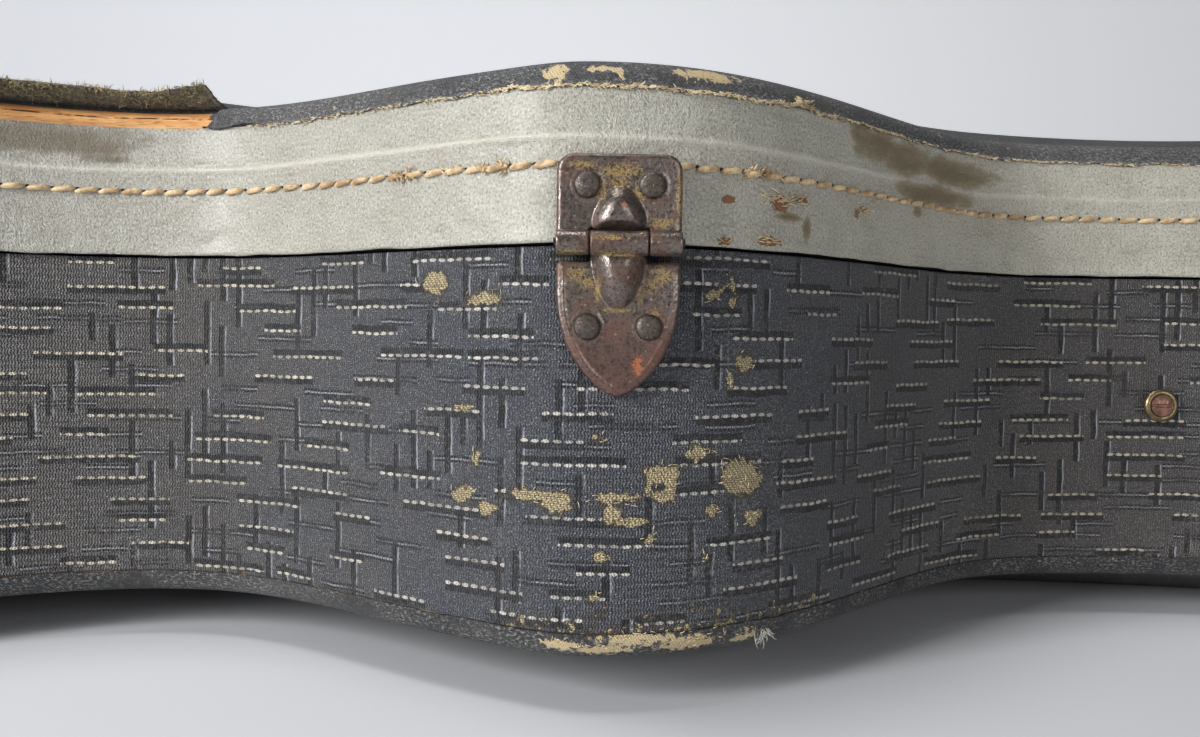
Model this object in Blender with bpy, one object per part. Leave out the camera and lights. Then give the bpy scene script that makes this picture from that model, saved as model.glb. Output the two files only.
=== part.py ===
# Hollow-body guitar case, lying on its back with the lid up. Metres, +Z up.
# +X points to the head end, -Y is the hinge side and +Y the latch and handle side.
# The origin is on the flat crown of the back, at the waist.
from math import cos, pi, radians, sin

import bpy
import numpy as np
from mathutils import Matrix, Vector

# Outline of the covered case, seen from above
TAIL_X = -0.345
LOWER_BOUT_X = -0.228
LOWER_BOUT_HALF = 0.236
WAIST_HALF = 0.1405
UPPER_BOUT_X = 0.115
UPPER_BOUT_HALF = 0.179
NECK_X = 0.325
NECK_HALF = 0.054
HEAD_FLAT_X = 0.700
HEAD_HALF = 0.074
HEAD_X = 0.785
HEAD_CORNER = 0.036
# Share of the way along a stretch, and share of its change in half-width
WAIST_RUN = ((0.20, 0.070), (0.386, 0.147), (0.759, 0.813))
BOUT_RUN = ((0.296, 0.210), (0.609, 0.616), (0.861, 0.901))
SHOULDER_RUN = (
    (0.048, 0.008), (0.160, 0.084), (0.264, 0.232),
    (0.430, 0.584), (0.595, 0.864), (0.781, 0.965),
)
NECK_RUN = ((0.333, 0.405), (0.680, 0.800))
TAIL_SQUARENESS = 0.84
OUTLINE_POINTS = 52
# Length that one radian of turn counts for, as a share of the case's length
TURN_SHARE = 0.133

# Heights above the floor
BACK_EDGE_Z = 0.013
SEAM_Z = 0.1148
LID_EDGE_Z = 0.160
BACK_LAP = 0.0067
LID_LAP = 0.0072
EDGE_RADIUS = 0.006
LID_ARCH = 0.024
LID_NECK_ARCH = 0.009
ARCH_RUN = 0.150
CROWN_LENGTH_SHARE = 0.80
CROWN_WIDTH_SHARE = 0.15
ARCH_STEPS = (0.30, 0.62, 1.0)

# Layers of the wall, from the outside in
CLOTH = 0.001
PLY_WALL = 0.005
PLY_PANEL = 0.004
LINING = 0.004
BAND = 0.0012
GAP = 0.0003
SEAM_GAP = 0.0006
BAND_LIFT = 0.0015

# Stop hinge: u along the pin, v up, w out of the band
HINGE_WIDTH = 0.030
LID_LEAF_HEIGHT = 0.0214
LID_LEAF_CORNER = 0.004
BASE_LEAF_SHOULDER = 0.0046
BASE_LEAF_STRAIGHT = 0.0115
BASE_LEAF_LENGTH = 0.0362
# Steps along the base leaf's taper, and how full its sides stay
TAPER_STEPS = (0.0, 0.30, 0.55, 0.76, 0.92)
TAPER_FULLNESS = 0.8
LEAF_THICKNESS = 0.002
LEAF_EDGE = 0.0008
PIN_OUT = 0.0033
PIN_RADIUS = 0.001
PIN_HEAD_RADIUS = 0.0018
PIN_HEAD_LENGTH = 0.0008
PIN_CLEARANCE = 0.00025
KNUCKLE_RADIUS = 0.00295
KNUCKLE_HALF = 0.0069
RIVET_RADIUS = 0.0031
RIVET_HEIGHT = 0.0017
RIVET_SHANK = 0.0015
LID_RIVET = (0.0077, 0.0138)
BASE_RIVET = (0.0074, -0.0197)
UPPER_HINGE_SHIFT = 0.004
# Embossings: u as a share of the hinge's width, v as a share of the leaf's height
PEAK_FOOT = 0.200
PEAK_SIDE = ((0.173, 0.336), (0.100, 0.523), (0.047, 0.589))
PEAK_CENTRE = 0.402
PEAK_HEIGHT = 0.003
PEAK_LEVELS = ((0.92, 0.27), (0.55, 0.77), (0.22, 1.0))
DROP_SIDE = ((0.197, 0.044), (0.173, 0.180), (0.133, 0.298), (0.073, 0.395))
DROP_TIP = 0.431
DROP_CENTRE = 0.066
DROP_HEIGHT = 0.0042
DROP_LEVELS = ((0.94, 0.26), (0.74, 0.74), (0.45, 1.0))

# Draw latch: same local axes as the hinge
LATCH_XS = (-0.178, 0.125, 0.600)
LATCH_PLATE_WIDTH = 0.024
LATCH_PLATE_TOP = 0.004
LATCH_PLATE_BOTTOM = 0.035
LATCH_PLATE_THICKNESS = 0.002
EAR_THICKNESS = 0.0016
LEVER_WIDTH = 0.015
LEVER_THICKNESS = 0.0016
LEVER_LENGTH = 0.028
LEVER_PIVOT_V = -0.010
LEVER_PIVOT_W = 0.0037
LEVER_BARREL = 0.0022
TRUNNION_RADIUS = 0.0011
BAIL_PIVOT_DROP = 0.008
BAIL_LENGTH = 0.0262
BAIL_WIRE = 0.0012
BAIL_CORNER = 0.004
CATCH_WIDTH = 0.014
CATCH_THICKNESS = 0.0015
CATCH_LEDGE_V = 0.0065
CATCH_TOP = 0.020
CATCH_LIP = 0.003

# Carrying handle, hung from the waist
HANDLE_AXIS_Z = 0.090
HANDLE_HALF_SPAN = 0.058
HANDLE_STAND_OFF = 0.0070
HANDLE_DROP = 0.038
HANDLE_GRIP_RADIUS = 0.008
HANDLE_STUB_RADIUS = 0.003
# Path from the stub to the middle of the grip: x inwards from the bend and drop, both as
# shares of the drop, and radius as a share of the grip's
GRIP_PATH = (
    (-0.080, 0.0, 0.375), (0.0, 0.040, 0.375), (0.055, 0.134, 0.41),
    (0.110, 0.450, 0.525), (0.237, 0.780, 0.80), (0.513, 0.960, 0.97),
)
MOUNT_WIDTH = 0.010
MOUNT_RADIUS = 0.0058
MOUNT_FOOT_HALF = 0.013
MOUNT_FOOT_HEIGHT = 0.020

# Inside fittings
NECK_REST_X = 0.296
NECK_REST_LENGTH = 0.032
NECK_REST_TOP = 0.100
NECK_NOTCH_HALF = 0.030
NECK_NOTCH_DEPTH = 0.036
PAD = 0.004
BOX_WALL_X = 0.520
BOX_WALL = 0.006
BOX_LID_Z = 0.0577
BOX_LID = 0.004
BOX_LID_WIDTH = 0.074
BOX_AXIS_Y = -0.037
BOX_BARREL = 0.003
BOX_PIN = 0.0012
TAB_WIDTH = 0.018
TAB_LENGTH = 0.014
TAB_THICKNESS = 0.0015
SCREW_Z = 0.072
SCREW_RADIUS = 0.0036
SCREW_NECK = 0.002
SCREW_DOME = 0.0009
SLOT_WIDTH = 0.0008
WASHER_RADIUS = 0.00555
WASHER_HEIGHT = 0.0018

# Sides of round pieces: shafts and holes, and barrels that show
SHAFT_SIDES = 8
BARREL_SIDES = 12


# Outline of the case

def stretch(start, end, shares):
    """Stations between two named places, from shares of the way and of the change."""
    (x0, y0), (x1, y1) = start, end
    return [(x0 + along * (x1 - x0), y0 + change * (y1 - y0)) for along, change in shares]


def stations():
    """Half of the outline, from the tail to the head, on the +Y side."""
    lower = (LOWER_BOUT_X, LOWER_BOUT_HALF)
    waist = (0.0, WAIST_HALF)
    upper = (UPPER_BOUT_X, UPPER_BOUT_HALF)
    neck = (NECK_X, NECK_HALF)
    head = (HEAD_FLAT_X, HEAD_HALF)
    points = [(TAIL_X, 0.0)]
    for turn in (radians(18), radians(36), radians(54), radians(72)):
        reach = (LOWER_BOUT_X - TAIL_X) * cos(turn) ** TAIL_SQUARENESS
        points.append((LOWER_BOUT_X - reach, LOWER_BOUT_HALF * sin(turn) ** TAIL_SQUARENESS))
    points += [lower] + stretch(lower, waist, WAIST_RUN)
    points += [waist] + stretch(waist, upper, BOUT_RUN)
    points += [upper] + stretch(upper, neck, SHOULDER_RUN)
    points += [neck] + stretch(neck, head, NECK_RUN)
    points += [head]
    for turn in (radians(90), radians(45), 0.0):
        x = HEAD_X - HEAD_CORNER * (1 - cos(turn))
        points.append((x, HEAD_HALF - HEAD_CORNER * (1 - sin(turn))))
    return points + [(HEAD_X, 0.0)]


def closed_spline(points, samples_per_span):
    """Smooth closed curve through the points: a cubic whose bend is continuous."""
    points = np.array(points)
    count = len(points)
    step = np.linalg.norm(np.roll(points, -1, axis=0) - points, axis=1)
    before = np.roll(step, 1)
    slope = (np.roll(points, -1, axis=0) - points) / step[:, None]
    system = np.zeros((count, count))
    for i in range(count):
        system[i, i - 1] += before[i]
        system[i, i] += 2 * (before[i] + step[i])
        system[i, (i + 1) % count] += step[i]
    bend = np.linalg.solve(system, 6 * (slope - np.roll(slope, 1, axis=0)))
    following = np.roll(points, -1, axis=0)
    bend_after = np.roll(bend, -1, axis=0)
    curve = []
    for i in range(count):
        t = (np.arange(samples_per_span) / samples_per_span * step[i])[:, None]
        left = step[i] - t
        curve.append(
            (bend[i] * left ** 3 + bend_after[i] * t ** 3) / (6 * step[i])
            + (points[i] / step[i] - bend[i] * step[i] / 6) * left
            + (following[i] / step[i] - bend_after[i] * step[i] / 6) * t
        )
    return np.concatenate(curve)


def half_curve():
    """Dense half outline on the +Y side, tail to head."""
    half = stations()
    mirrored = [(x, -y) for x, y in half[-2:0:-1]]
    curve = closed_spline(half + mirrored, 60)
    return curve[:60 * (len(half) - 1) + 1]


def outline_points():
    """Outline with more points where it turns more, mirrored about the X axis."""
    curve = half_curve()
    steps = np.diff(curve, axis=0)
    length = np.linalg.norm(steps, axis=1)
    heading = np.unwrap(np.arctan2(steps[:, 1], steps[:, 0]))
    turn = np.abs(np.diff(heading, prepend=heading[0]))
    measure = np.concatenate([[0.0], np.cumsum(length + TURN_SHARE * (HEAD_X - TAIL_X) * turn)])
    wanted = np.linspace(0.0, measure[-1], OUTLINE_POINTS // 2 + 1)
    x = np.interp(wanted, measure, curve[:, 0])
    y = np.interp(wanted, measure, curve[:, 1])
    y[0] = y[-1] = 0.0
    half = np.column_stack([x, y])
    return np.concatenate([half, half[-2:0:-1] * (1, -1)])


def outward_normals(points):
    """Unit normals of the closed outline, scaled so that an offset keeps its wall."""
    ahead = np.roll(points, -1, axis=0) - points
    ahead /= np.linalg.norm(ahead, axis=1)[:, None]
    behind = np.roll(ahead, 1, axis=0)
    normal = np.column_stack([-(ahead + behind)[:, 1], (ahead + behind)[:, 0]])
    normal /= np.linalg.norm(normal, axis=1)[:, None]
    mitre = np.sum(normal * np.column_stack([-ahead[:, 1], ahead[:, 0]]), axis=1)
    return normal / mitre[:, None]


OUTLINE = outline_points()
NORMALS = outward_normals(OUTLINE)
CROWN_CENTRE_X = (TAIL_X + HEAD_X) / 2
CROWN = np.column_stack([
    CROWN_CENTRE_X + CROWN_LENGTH_SHARE * (OUTLINE[:, 0] - CROWN_CENTRE_X),
    CROWN_WIDTH_SHARE * OUTLINE[:, 1],
])
MERIDIAN = CROWN - OUTLINE
MERIDIAN_LENGTH = np.linalg.norm(MERIDIAN, axis=1)
MERIDIAN_SLANT = -np.sum(MERIDIAN * NORMALS, axis=1) / MERIDIAN_LENGTH


def ring(depth, height):
    """Outline moved inwards by a depth, at one height."""
    flat = OUTLINE - depth * NORMALS
    return np.column_stack([flat, np.full(len(flat), height)])


def arch_share(share):
    """Rise of the arch, 0 at the edge and 1 on the crown, along each meridian."""
    run = np.minimum(ARCH_RUN, MERIDIAN_LENGTH)
    return 0.5 - 0.5 * np.cos(pi * np.minimum(1.0, share * MERIDIAN_LENGTH / run))


def back_rise(x):
    """The back sinks all along to the flat crown, which the case rests on."""
    return np.full(len(x), -BACK_EDGE_Z)


def lid_rise(x):
    """The lid's arch fades from the body to the neck."""
    share = np.clip((x - UPPER_BOUT_X) / (NECK_X - UPPER_BOUT_X), 0.0, 1.0)
    share = share * share * (3 - 2 * share)
    return LID_ARCH + (LID_NECK_ARCH - LID_ARCH) * share


def arch_rings(height, rise):
    """Rings of an arched panel, from near the edge to the crown."""
    rings = []
    for step in ARCH_STEPS:
        flat = OUTLINE + step * MERIDIAN
        rings.append(np.column_stack([flat, height + rise(flat[:, 0]) * arch_share(step)]))
    return rings


def arch_edge(depth, height, rise):
    """Ring of an arched panel at a depth inside the outline."""
    flat = OUTLINE - depth * NORMALS
    share = arch_share(depth / (MERIDIAN_LENGTH * MERIDIAN_SLANT))
    return np.column_stack([flat, height + rise(flat[:, 0]) * share])


def edge_arc(radius, edge_z, side, start_angle):
    """Rounded edge of a panel: rings from the wall (side 1 up, -1 down) to its face."""
    centre_z = edge_z - side * EDGE_RADIUS
    rings = []
    for angle in np.linspace(start_angle, pi / 2, 3):
        rings.append(ring(EDGE_RADIUS - radius * cos(angle), centre_z + side * radius * sin(angle)))
    return rings


# Meshes from rings and outlines

def new_mesh(name, points, faces):
    mesh = bpy.data.meshes.new(name)
    mesh.from_pydata([tuple(point) for point in points], [], faces)
    mesh.validate(clean_customdata=False)
    return mesh


def band_faces(points, first, second, count):
    """Triangles between two closed rings, split along the shorter diagonal of each quad."""
    faces = []
    for i in range(count):
        j = (i + 1) % count
        a, b, c, d = first + i, first + j, second + j, second + i
        if np.linalg.norm(points[a] - points[c]) < np.linalg.norm(points[b] - points[d]):
            faces += [(a, b, c), (a, c, d)]
        else:
            faces += [(a, b, d), (b, c, d)]
    return faces


def strip_cap(first, count):
    """Cap of a ring that mirrors across the X axis: one quad for each pair of points."""
    half = count // 2
    faces = [(first, first + 1, first + count - 1)]
    for i in range(1, half - 1):
        faces.append((first + i, first + i + 1, first + count - i - 1, first + count - i))
    faces.append((first + half - 1, first + half, first + half + 1))
    return faces


def face_outwards(mesh):
    """Turn the faces of a closed mesh outwards, judged by its signed volume."""
    mesh.calc_loop_triangles()
    volume = 0.0
    for triangle in mesh.loop_triangles:
        a, b, c = (mesh.vertices[i].co for i in triangle.vertices)
        volume += a.dot(b.cross(c))
    if volume < 0:
        mesh.flip_normals()
    return mesh


def ring_mesh(name, rings, ends):
    """Closed mesh from rings of equal count. Ends are 'join', 'flat' or 'strip'."""
    count = len(rings[0])
    points = np.concatenate(rings)
    faces = []
    for k in range(len(rings) - 1):
        faces += band_faces(points, k * count, (k + 1) * count, count)
    last = (len(rings) - 1) * count
    if ends == 'join':
        faces += band_faces(points, last, 0, count)
    elif ends == 'flat':
        faces.append(tuple(range(count))[::-1])
        faces.append(tuple(range(last, last + count)))
    else:
        faces += [tuple(reversed(face)) for face in strip_cap(0, count)]
        faces += strip_cap(last, count)
    return face_outwards(new_mesh(name, points, faces))


def flat_ring(outline, height):
    return np.array([(x, y, height) for x, y in outline])


def prism(name, outline, low, high):
    """Outline in the local XY plane, extruded along Z."""
    return ring_mesh(name, [flat_ring(outline, low), flat_ring(outline, high)], 'flat')


def box(name, low, high):
    outline = [(low[0], low[1]), (high[0], low[1]), (high[0], high[1]), (low[0], high[1])]
    return prism(name, outline, low[2], high[2])


def turned(name, profile, segments):
    """Solid turned about local Z from a profile of radius and height."""
    angles = np.arange(segments) / segments * 2 * pi
    rings = [
        np.column_stack([radius * np.cos(angles), radius * np.sin(angles), np.full(segments, height)])
        for radius, height in profile
    ]
    return ring_mesh(name, rings, 'flat')


def rod(name, start, end, radius, segments):
    """Round bar between two points."""
    start = Vector(start)
    end = Vector(end)
    length = (end - start).length
    mesh = turned(name, [(radius, 0.0), (radius, length)], segments)
    turn = (end - start).to_track_quat('Z', 'Y').to_matrix().to_4x4()
    mesh.transform(Matrix.Translation(start) @ turn)
    return mesh


def swept(name, path, radii, sides, closed):
    """Round section carried along a flat path in the local XY plane."""
    path = np.array(path)
    if closed:
        along = np.roll(path, -1, axis=0) - np.roll(path, 1, axis=0)
    else:
        along = np.gradient(path, axis=0)
    along /= np.linalg.norm(along, axis=1)[:, None]
    across = np.column_stack([-along[:, 1], along[:, 0]])
    rings = []
    for place, side, radius in zip(path, across, radii):
        section = []
        for k in range(sides):
            angle = 2 * pi * (k + 0.5) / sides
            flat = place + side * radius * cos(angle)
            section.append((flat[0], flat[1], radius * sin(angle)))
        rings.append(np.array(section))
    return ring_mesh(name, rings, 'join' if closed else 'flat')


def inset(outline, distance):
    """Outline moved inwards along its own normals."""
    points = np.array(outline)
    area = np.sum(points[:, 0] * np.roll(points[:, 1], -1) - points[:, 1] * np.roll(points[:, 0], -1))
    normals = outward_normals(points) * (1 if area > 0 else -1)
    return points + normals * distance


def temporary(mesh):
    body = bpy.data.objects.new(mesh.name, mesh)
    bpy.context.collection.objects.link(body)
    body.hide_render = True
    body.display_type = 'WIRE'
    return body


def combine(mesh, tools, operation):
    """Exact union, difference or intersection of a mesh with each tool mesh."""
    body = temporary(mesh)
    helpers = [temporary(tool) for tool in tools]
    for helper in helpers:
        modifier = body.modifiers.new('cut', 'BOOLEAN')
        modifier.operation = operation
        modifier.object = helper
    graph = bpy.context.evaluated_depsgraph_get()
    result = bpy.data.meshes.new_from_object(body.evaluated_get(graph))
    result.name = mesh.name
    for used in [body] + helpers:
        bpy.data.objects.remove(used)
    return result


def soften(mesh, angle):
    mesh.shade_smooth()
    mesh.set_sharp_from_angle(angle=radians(angle))


# Materials

def material(name, colour, roughness, metallic):
    made = bpy.data.materials.new(name)
    made.use_nodes = True
    shader = made.node_tree.nodes['Principled BSDF']
    shader.inputs['Base Color'].default_value = (*colour, 1.0)
    shader.inputs['Roughness'].default_value = roughness
    shader.inputs['Metallic'].default_value = metallic
    return made


def plain_cloth():
    return material('plain_cloth', (0.030, 0.031, 0.034), 0.75, 0.0)


def woven_cloth():
    return material('woven_cloth', (0.060, 0.066, 0.074), 0.70, 0.0)


def band_cloth():
    return material('band_cloth', (0.28, 0.27, 0.23), 0.50, 0.0)


def plywood():
    return material('plywood', (0.52, 0.30, 0.14), 0.65, 0.0)


def plush():
    return material('plush', (0.20, 0.035, 0.045), 0.95, 0.0)


def rusty_steel():
    return material('rusty_steel', (0.11, 0.062, 0.048), 0.45, 0.85)


def rivet_steel():
    return material('rivet_steel', (0.075, 0.066, 0.062), 0.42, 0.85)


def aged_brass():
    return material('aged_brass', (0.36, 0.25, 0.12), 0.40, 0.9)


def leather():
    return material('leather', (0.045, 0.028, 0.020), 0.55, 0.0)


# Placing

def place(name, mesh, made, matrix=None, parent=None):
    """Object of a mesh, in world space or under a parent that stays where it is."""
    body = bpy.data.objects.new(name, mesh)
    bpy.context.collection.objects.link(body)
    if not mesh.materials:
        mesh.materials.append(made)
    soften(mesh, 35)
    if parent is not None:
        body.parent = parent
        body.matrix_parent_inverse = parent.matrix_world.inverted()
    body.matrix_world = matrix if matrix is not None else Matrix.Identity(4)
    return body


def pivot(name, matrix):
    empty = bpy.data.objects.new(name, None)
    bpy.context.collection.objects.link(empty)
    empty.matrix_world = matrix
    bpy.context.view_layer.update()
    return empty


def local_axes(place_xy, outward, height):
    """Matrix with local X along the wall, local Y up and local Z out of the wall."""
    out = Vector((outward[0], outward[1], 0.0)).normalized()
    along = Vector((0.0, 0.0, 1.0)).cross(out)
    matrix = Matrix.Identity(4)
    matrix.col[0][:3] = along
    matrix.col[1][:3] = (0.0, 0.0, 1.0)
    matrix.col[2][:3] = out
    matrix.col[3][:3] = (place_xy[0], place_xy[1], height)
    return matrix


def wall_frame(x, side, height, lift):
    """Local axes on the facet of the side wall at a length x, lifted off the covering."""
    half = OUTLINE[:OUTLINE_POINTS // 2 + 1]
    after = np.searchsorted(half[:, 0], x)
    before, following = half[after - 1], half[after]
    share = (x - before[0]) / (following[0] - before[0])
    y = before[1] + share * (following[1] - before[1])
    out = Vector((before[1] - following[1], following[0] - before[0], 0.0)).normalized()
    return local_axes((x + out.x * lift, side * (y + out.y * lift)), (out.x, side * out.y), height)


def hinge_line():
    """Lower and upper touching points of a straight edge laid along the hinge side."""
    curve = OUTLINE[OUTLINE_POINTS // 2:]
    lower = curve[curve[:, 0] < 0]
    upper = curve[(curve[:, 0] > 0) & (curve[:, 0] < NECK_X)]
    first = lower[np.argmin(lower[:, 1])]
    second = upper[np.argmin(upper[:, 1])]
    for _ in range(12):
        out = Vector((second[1] - first[1], first[0] - second[0])).normalized()
        first = lower[np.argmax(lower @ np.array(out))]
        second = upper[np.argmax(upper @ np.array(out))]
    return Vector(first), Vector(second), out


# Side wall, back and lid

def base_rim():
    low = BACK_EDGE_Z + CLOTH + GAP + PLY_PANEL + GAP
    high = SEAM_Z - SEAM_GAP / 2
    outer = CLOTH + GAP
    inner = outer + PLY_WALL
    rings = [ring(outer, low), ring(outer, high), ring(inner, high), ring(inner, low)]
    return place('base_rim', ring_mesh('base_rim', rings, 'join'), plywood())


def lid_rim(lid):
    low = SEAM_Z + SEAM_GAP / 2
    high = LID_EDGE_Z - CLOTH - GAP - PLY_PANEL - GAP
    outer = CLOTH + GAP
    inner = outer + PLY_WALL
    rings = [ring(outer, low), ring(outer, high), ring(inner, high), ring(inner, low)]
    return place('lid_rim', ring_mesh('lid_rim', rings, 'join'), plywood(), parent=lid)


def panel_mesh(name, edge_z, side, rise):
    """Arched plywood panel with a rounded edge. Side is 1 for the lid, -1 for the back."""
    radius = EDGE_RADIUS - CLOTH - GAP
    outer_z = edge_z - side * (CLOTH + GAP)
    inner_z = outer_z - side * PLY_PANEL
    start = np.arcsin((radius - PLY_PANEL) / radius)
    rings = arch_rings(outer_z, rise)[::-1]
    rings += edge_arc(radius, edge_z, side, start)[::-1]
    rings += arch_rings(inner_z, rise)
    return ring_mesh(name, rings, 'strip')


def covering_mesh(name, edge_z, lap_z, side, rise):
    """Cloth over an arched panel, lapped on to the side wall as far as lap_z."""
    inner_radius = EDGE_RADIUS - CLOTH
    rings = arch_rings(edge_z, rise)[::-1]
    rings += edge_arc(EDGE_RADIUS, edge_z, side, 0.0)[::-1]
    rings += [ring(0.0, lap_z), ring(CLOTH, lap_z)]
    rings += edge_arc(inner_radius, edge_z, side, 0.0)
    rings += arch_rings(edge_z - side * CLOTH, rise)
    return ring_mesh(name, rings, 'strip')


def back_panel():
    return place('back_panel', panel_mesh('back_panel', BACK_EDGE_Z, -1, back_rise), plywood())


def back_covering():
    lap_z = BACK_EDGE_Z + BACK_LAP
    mesh = covering_mesh('back_covering', BACK_EDGE_Z, lap_z, -1, back_rise)
    return place('back_covering', mesh, plain_cloth())


def lid_panel(lid):
    return place('lid_panel', panel_mesh('lid_panel', LID_EDGE_Z, 1, lid_rise), plywood(), parent=lid)


def lid_covering(lid):
    lap_z = SEAM_Z + BAND_LIFT + CLOTH
    mesh = covering_mesh('lid_covering', LID_EDGE_Z, lap_z, 1, lid_rise)
    return place('lid_covering', mesh, plain_cloth(), parent=lid)


def side_covering():
    low = BACK_EDGE_Z + BACK_LAP + GAP
    high = SEAM_Z - SEAM_GAP / 2
    rings = [ring(0.0, low), ring(0.0, high), ring(CLOTH, high), ring(CLOTH, low)]
    return place('side_covering', ring_mesh('side_covering', rings, 'join'), woven_cloth())


def lid_band(lid):
    """Grey coated cloth sewn round the side of the lid."""
    low = SEAM_Z + BAND_LIFT
    high = LID_EDGE_Z - LID_LAP
    outer = -GAP - BAND
    rings = [ring(outer, low), ring(outer, high), ring(-GAP, high), ring(-GAP, low)]
    return place('lid_band', ring_mesh('lid_band', rings, 'join'), band_cloth(), parent=lid)


def lining_mesh(name, edge_z, lip_z, side, rise):
    """Plush tub inside a rim and an arched panel, open at the seam."""
    outer = CLOTH + GAP + PLY_WALL + GAP
    inner = outer + LINING
    outer_z = edge_z - side * (CLOTH + GAP + PLY_PANEL + GAP)
    inner_z = outer_z - side * LINING
    rings = arch_rings(outer_z, rise)[::-1]
    rings += [arch_edge(outer, outer_z, rise), ring(outer, lip_z), ring(inner, lip_z)]
    rings += [arch_edge(inner, inner_z, rise)] + arch_rings(inner_z, rise)
    return ring_mesh(name, rings, 'strip')


def base_lining():
    lip_z = SEAM_Z - SEAM_GAP / 2
    return place('base_lining', lining_mesh('base_lining', BACK_EDGE_Z, lip_z, -1, back_rise), plush())


def lid_lining(lid):
    lip_z = SEAM_Z + SEAM_GAP / 2
    return place('lid_lining', lining_mesh('lid_lining', LID_EDGE_Z, lip_z, 1, lid_rise), plush(), parent=lid)


def cavity():
    """Room inside the base lining, kept one gap clear of it."""
    depth = CLOTH + GAP + PLY_WALL + GAP + LINING + GAP
    floor_z = BACK_EDGE_Z + CLOTH + GAP + PLY_PANEL + GAP + LINING + GAP
    rings = [ring(depth, SEAM_Z), arch_edge(depth, floor_z, back_rise)]
    rings += arch_rings(floor_z, back_rise)
    return ring_mesh('cavity', rings, 'strip')


def body_block():
    """Everything inside the side covering, grown by one gap."""
    return ring_mesh('body_block', [ring(-GAP, 0.0), ring(-GAP, SEAM_Z)], 'strip')


# Stop hinges

def corner(centre, radius, start, steps):
    """Quarter turn of an outline round a centre, from a start angle."""
    angles = [start + pi / 2 * k / steps for k in range(steps + 1)]
    return [(centre[0] + radius * cos(angle), centre[1] + radius * sin(angle)) for angle in angles]


def lid_leaf_outline():
    half = HINGE_WIDTH / 2
    notch_half = KNUCKLE_HALF + GAP
    notch_top = KNUCKLE_RADIUS + GAP
    turn = LID_LEAF_CORNER
    outline = [(-half, 0.0), (-notch_half, 0.0), (-notch_half, notch_top), (notch_half, notch_top)]
    outline += [(notch_half, 0.0), (half, 0.0)]
    outline += corner((half - turn, LID_LEAF_HEIGHT - turn), turn, 0.0, 3)
    outline += corner((turn - half, LID_LEAF_HEIGHT - turn), turn, pi / 2, 3)
    return outline


def base_leaf_outline():
    """Shield: square shoulders, straight sides, then a full taper to a round tip."""
    half = HINGE_WIDTH / 2
    neck_top = -SEAM_GAP
    taper = BASE_LEAF_LENGTH - BASE_LEAF_STRAIGHT
    side = []
    for share in TAPER_STEPS:
        width = half * (1 - share ** 2) ** TAPER_FULLNESS
        side.append((width, -BASE_LEAF_STRAIGHT - taper * share))
    outline = [(KNUCKLE_HALF, neck_top), (-KNUCKLE_HALF, neck_top), (-KNUCKLE_HALF, -BASE_LEAF_SHOULDER)]
    outline += [(-half + LEAF_EDGE, -BASE_LEAF_SHOULDER), (-half, -BASE_LEAF_SHOULDER - LEAF_EDGE)]
    outline += [(-u, v) for u, v in side]
    outline += [(0.0, -BASE_LEAF_LENGTH)] + side[::-1]
    outline += [(half, -BASE_LEAF_SHOULDER - LEAF_EDGE), (half - LEAF_EDGE, -BASE_LEAF_SHOULDER)]
    return outline + [(KNUCKLE_HALF, -BASE_LEAF_SHOULDER)]


def plate(name, outline, back, thickness):
    """Plate with a softened front edge."""
    front = back + thickness
    rings = [flat_ring(outline, back), flat_ring(outline, front - LEAF_EDGE)]
    rings.append(flat_ring(inset(outline, LEAF_EDGE), front))
    return ring_mesh(name, rings, 'flat')


def embossing(name, outline, centre_v, front, height, levels):
    """An outline that shrinks towards a centre as it rises from inside a leaf's front face."""
    outline = np.array(outline)
    centre = np.array((0.0, centre_v))
    rings = [flat_ring(outline, front - LEAF_THICKNESS / 2)]
    for share, rise in levels:
        rings.append(flat_ring(centre + (outline - centre) * share, front + rise * height))
    return ring_mesh(name, rings, 'flat')


def peak_outline():
    """Pointed arch above the knuckles."""
    foot = KNUCKLE_RADIUS + GAP * 2
    side = [(PEAK_FOOT * HINGE_WIDTH, foot)]
    side += [(u * HINGE_WIDTH, v * LID_LEAF_HEIGHT) for u, v in PEAK_SIDE]
    return side + [(-u, v) for u, v in side[::-1]]


def drop_outline():
    """Tongue that narrows down to a tip below the knuckles."""
    side = [(u * HINGE_WIDTH, -v * BASE_LEAF_LENGTH) for u, v in DROP_SIDE]
    return side + [(0.0, -DROP_TIP * BASE_LEAF_LENGTH)] + [(-u, v) for u, v in side[::-1]]


def knuckle(name, low, high):
    return rod(name, (low, 0.0, PIN_OUT), (high, 0.0, PIN_OUT), KNUCKLE_RADIUS, BARREL_SIDES)


def pin_bore(length):
    radius = PIN_RADIUS + PIN_CLEARANCE
    return rod('pin_bore', (-length, 0.0, PIN_OUT), (length, 0.0, PIN_OUT), radius, SHAFT_SIDES)


def rivet_holes(centre):
    u, v = centre
    low = -HINGE_WIDTH
    radius = RIVET_SHANK + GAP
    holes = []
    for side in (-1, 1):
        holes.append(rod('rivet_hole', (side * u, v, low), (side * u, v, -low), radius, SHAFT_SIDES))
    return holes


def lid_leaf_mesh():
    leaf = plate('lid_leaf', lid_leaf_outline(), GAP, LEAF_THICKNESS)
    start = KNUCKLE_HALF + GAP
    half = HINGE_WIDTH / 2
    front = GAP + LEAF_THICKNESS
    centre_v = PEAK_CENTRE * LID_LEAF_HEIGHT
    parts = [knuckle('left', -half, -start), knuckle('right', start, half)]
    parts.append(embossing('peak', peak_outline(), centre_v, front, PEAK_HEIGHT, PEAK_LEVELS))
    leaf = combine(leaf, parts, 'UNION')
    return combine(leaf, [pin_bore(HINGE_WIDTH)] + rivet_holes(LID_RIVET), 'DIFFERENCE')


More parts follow.
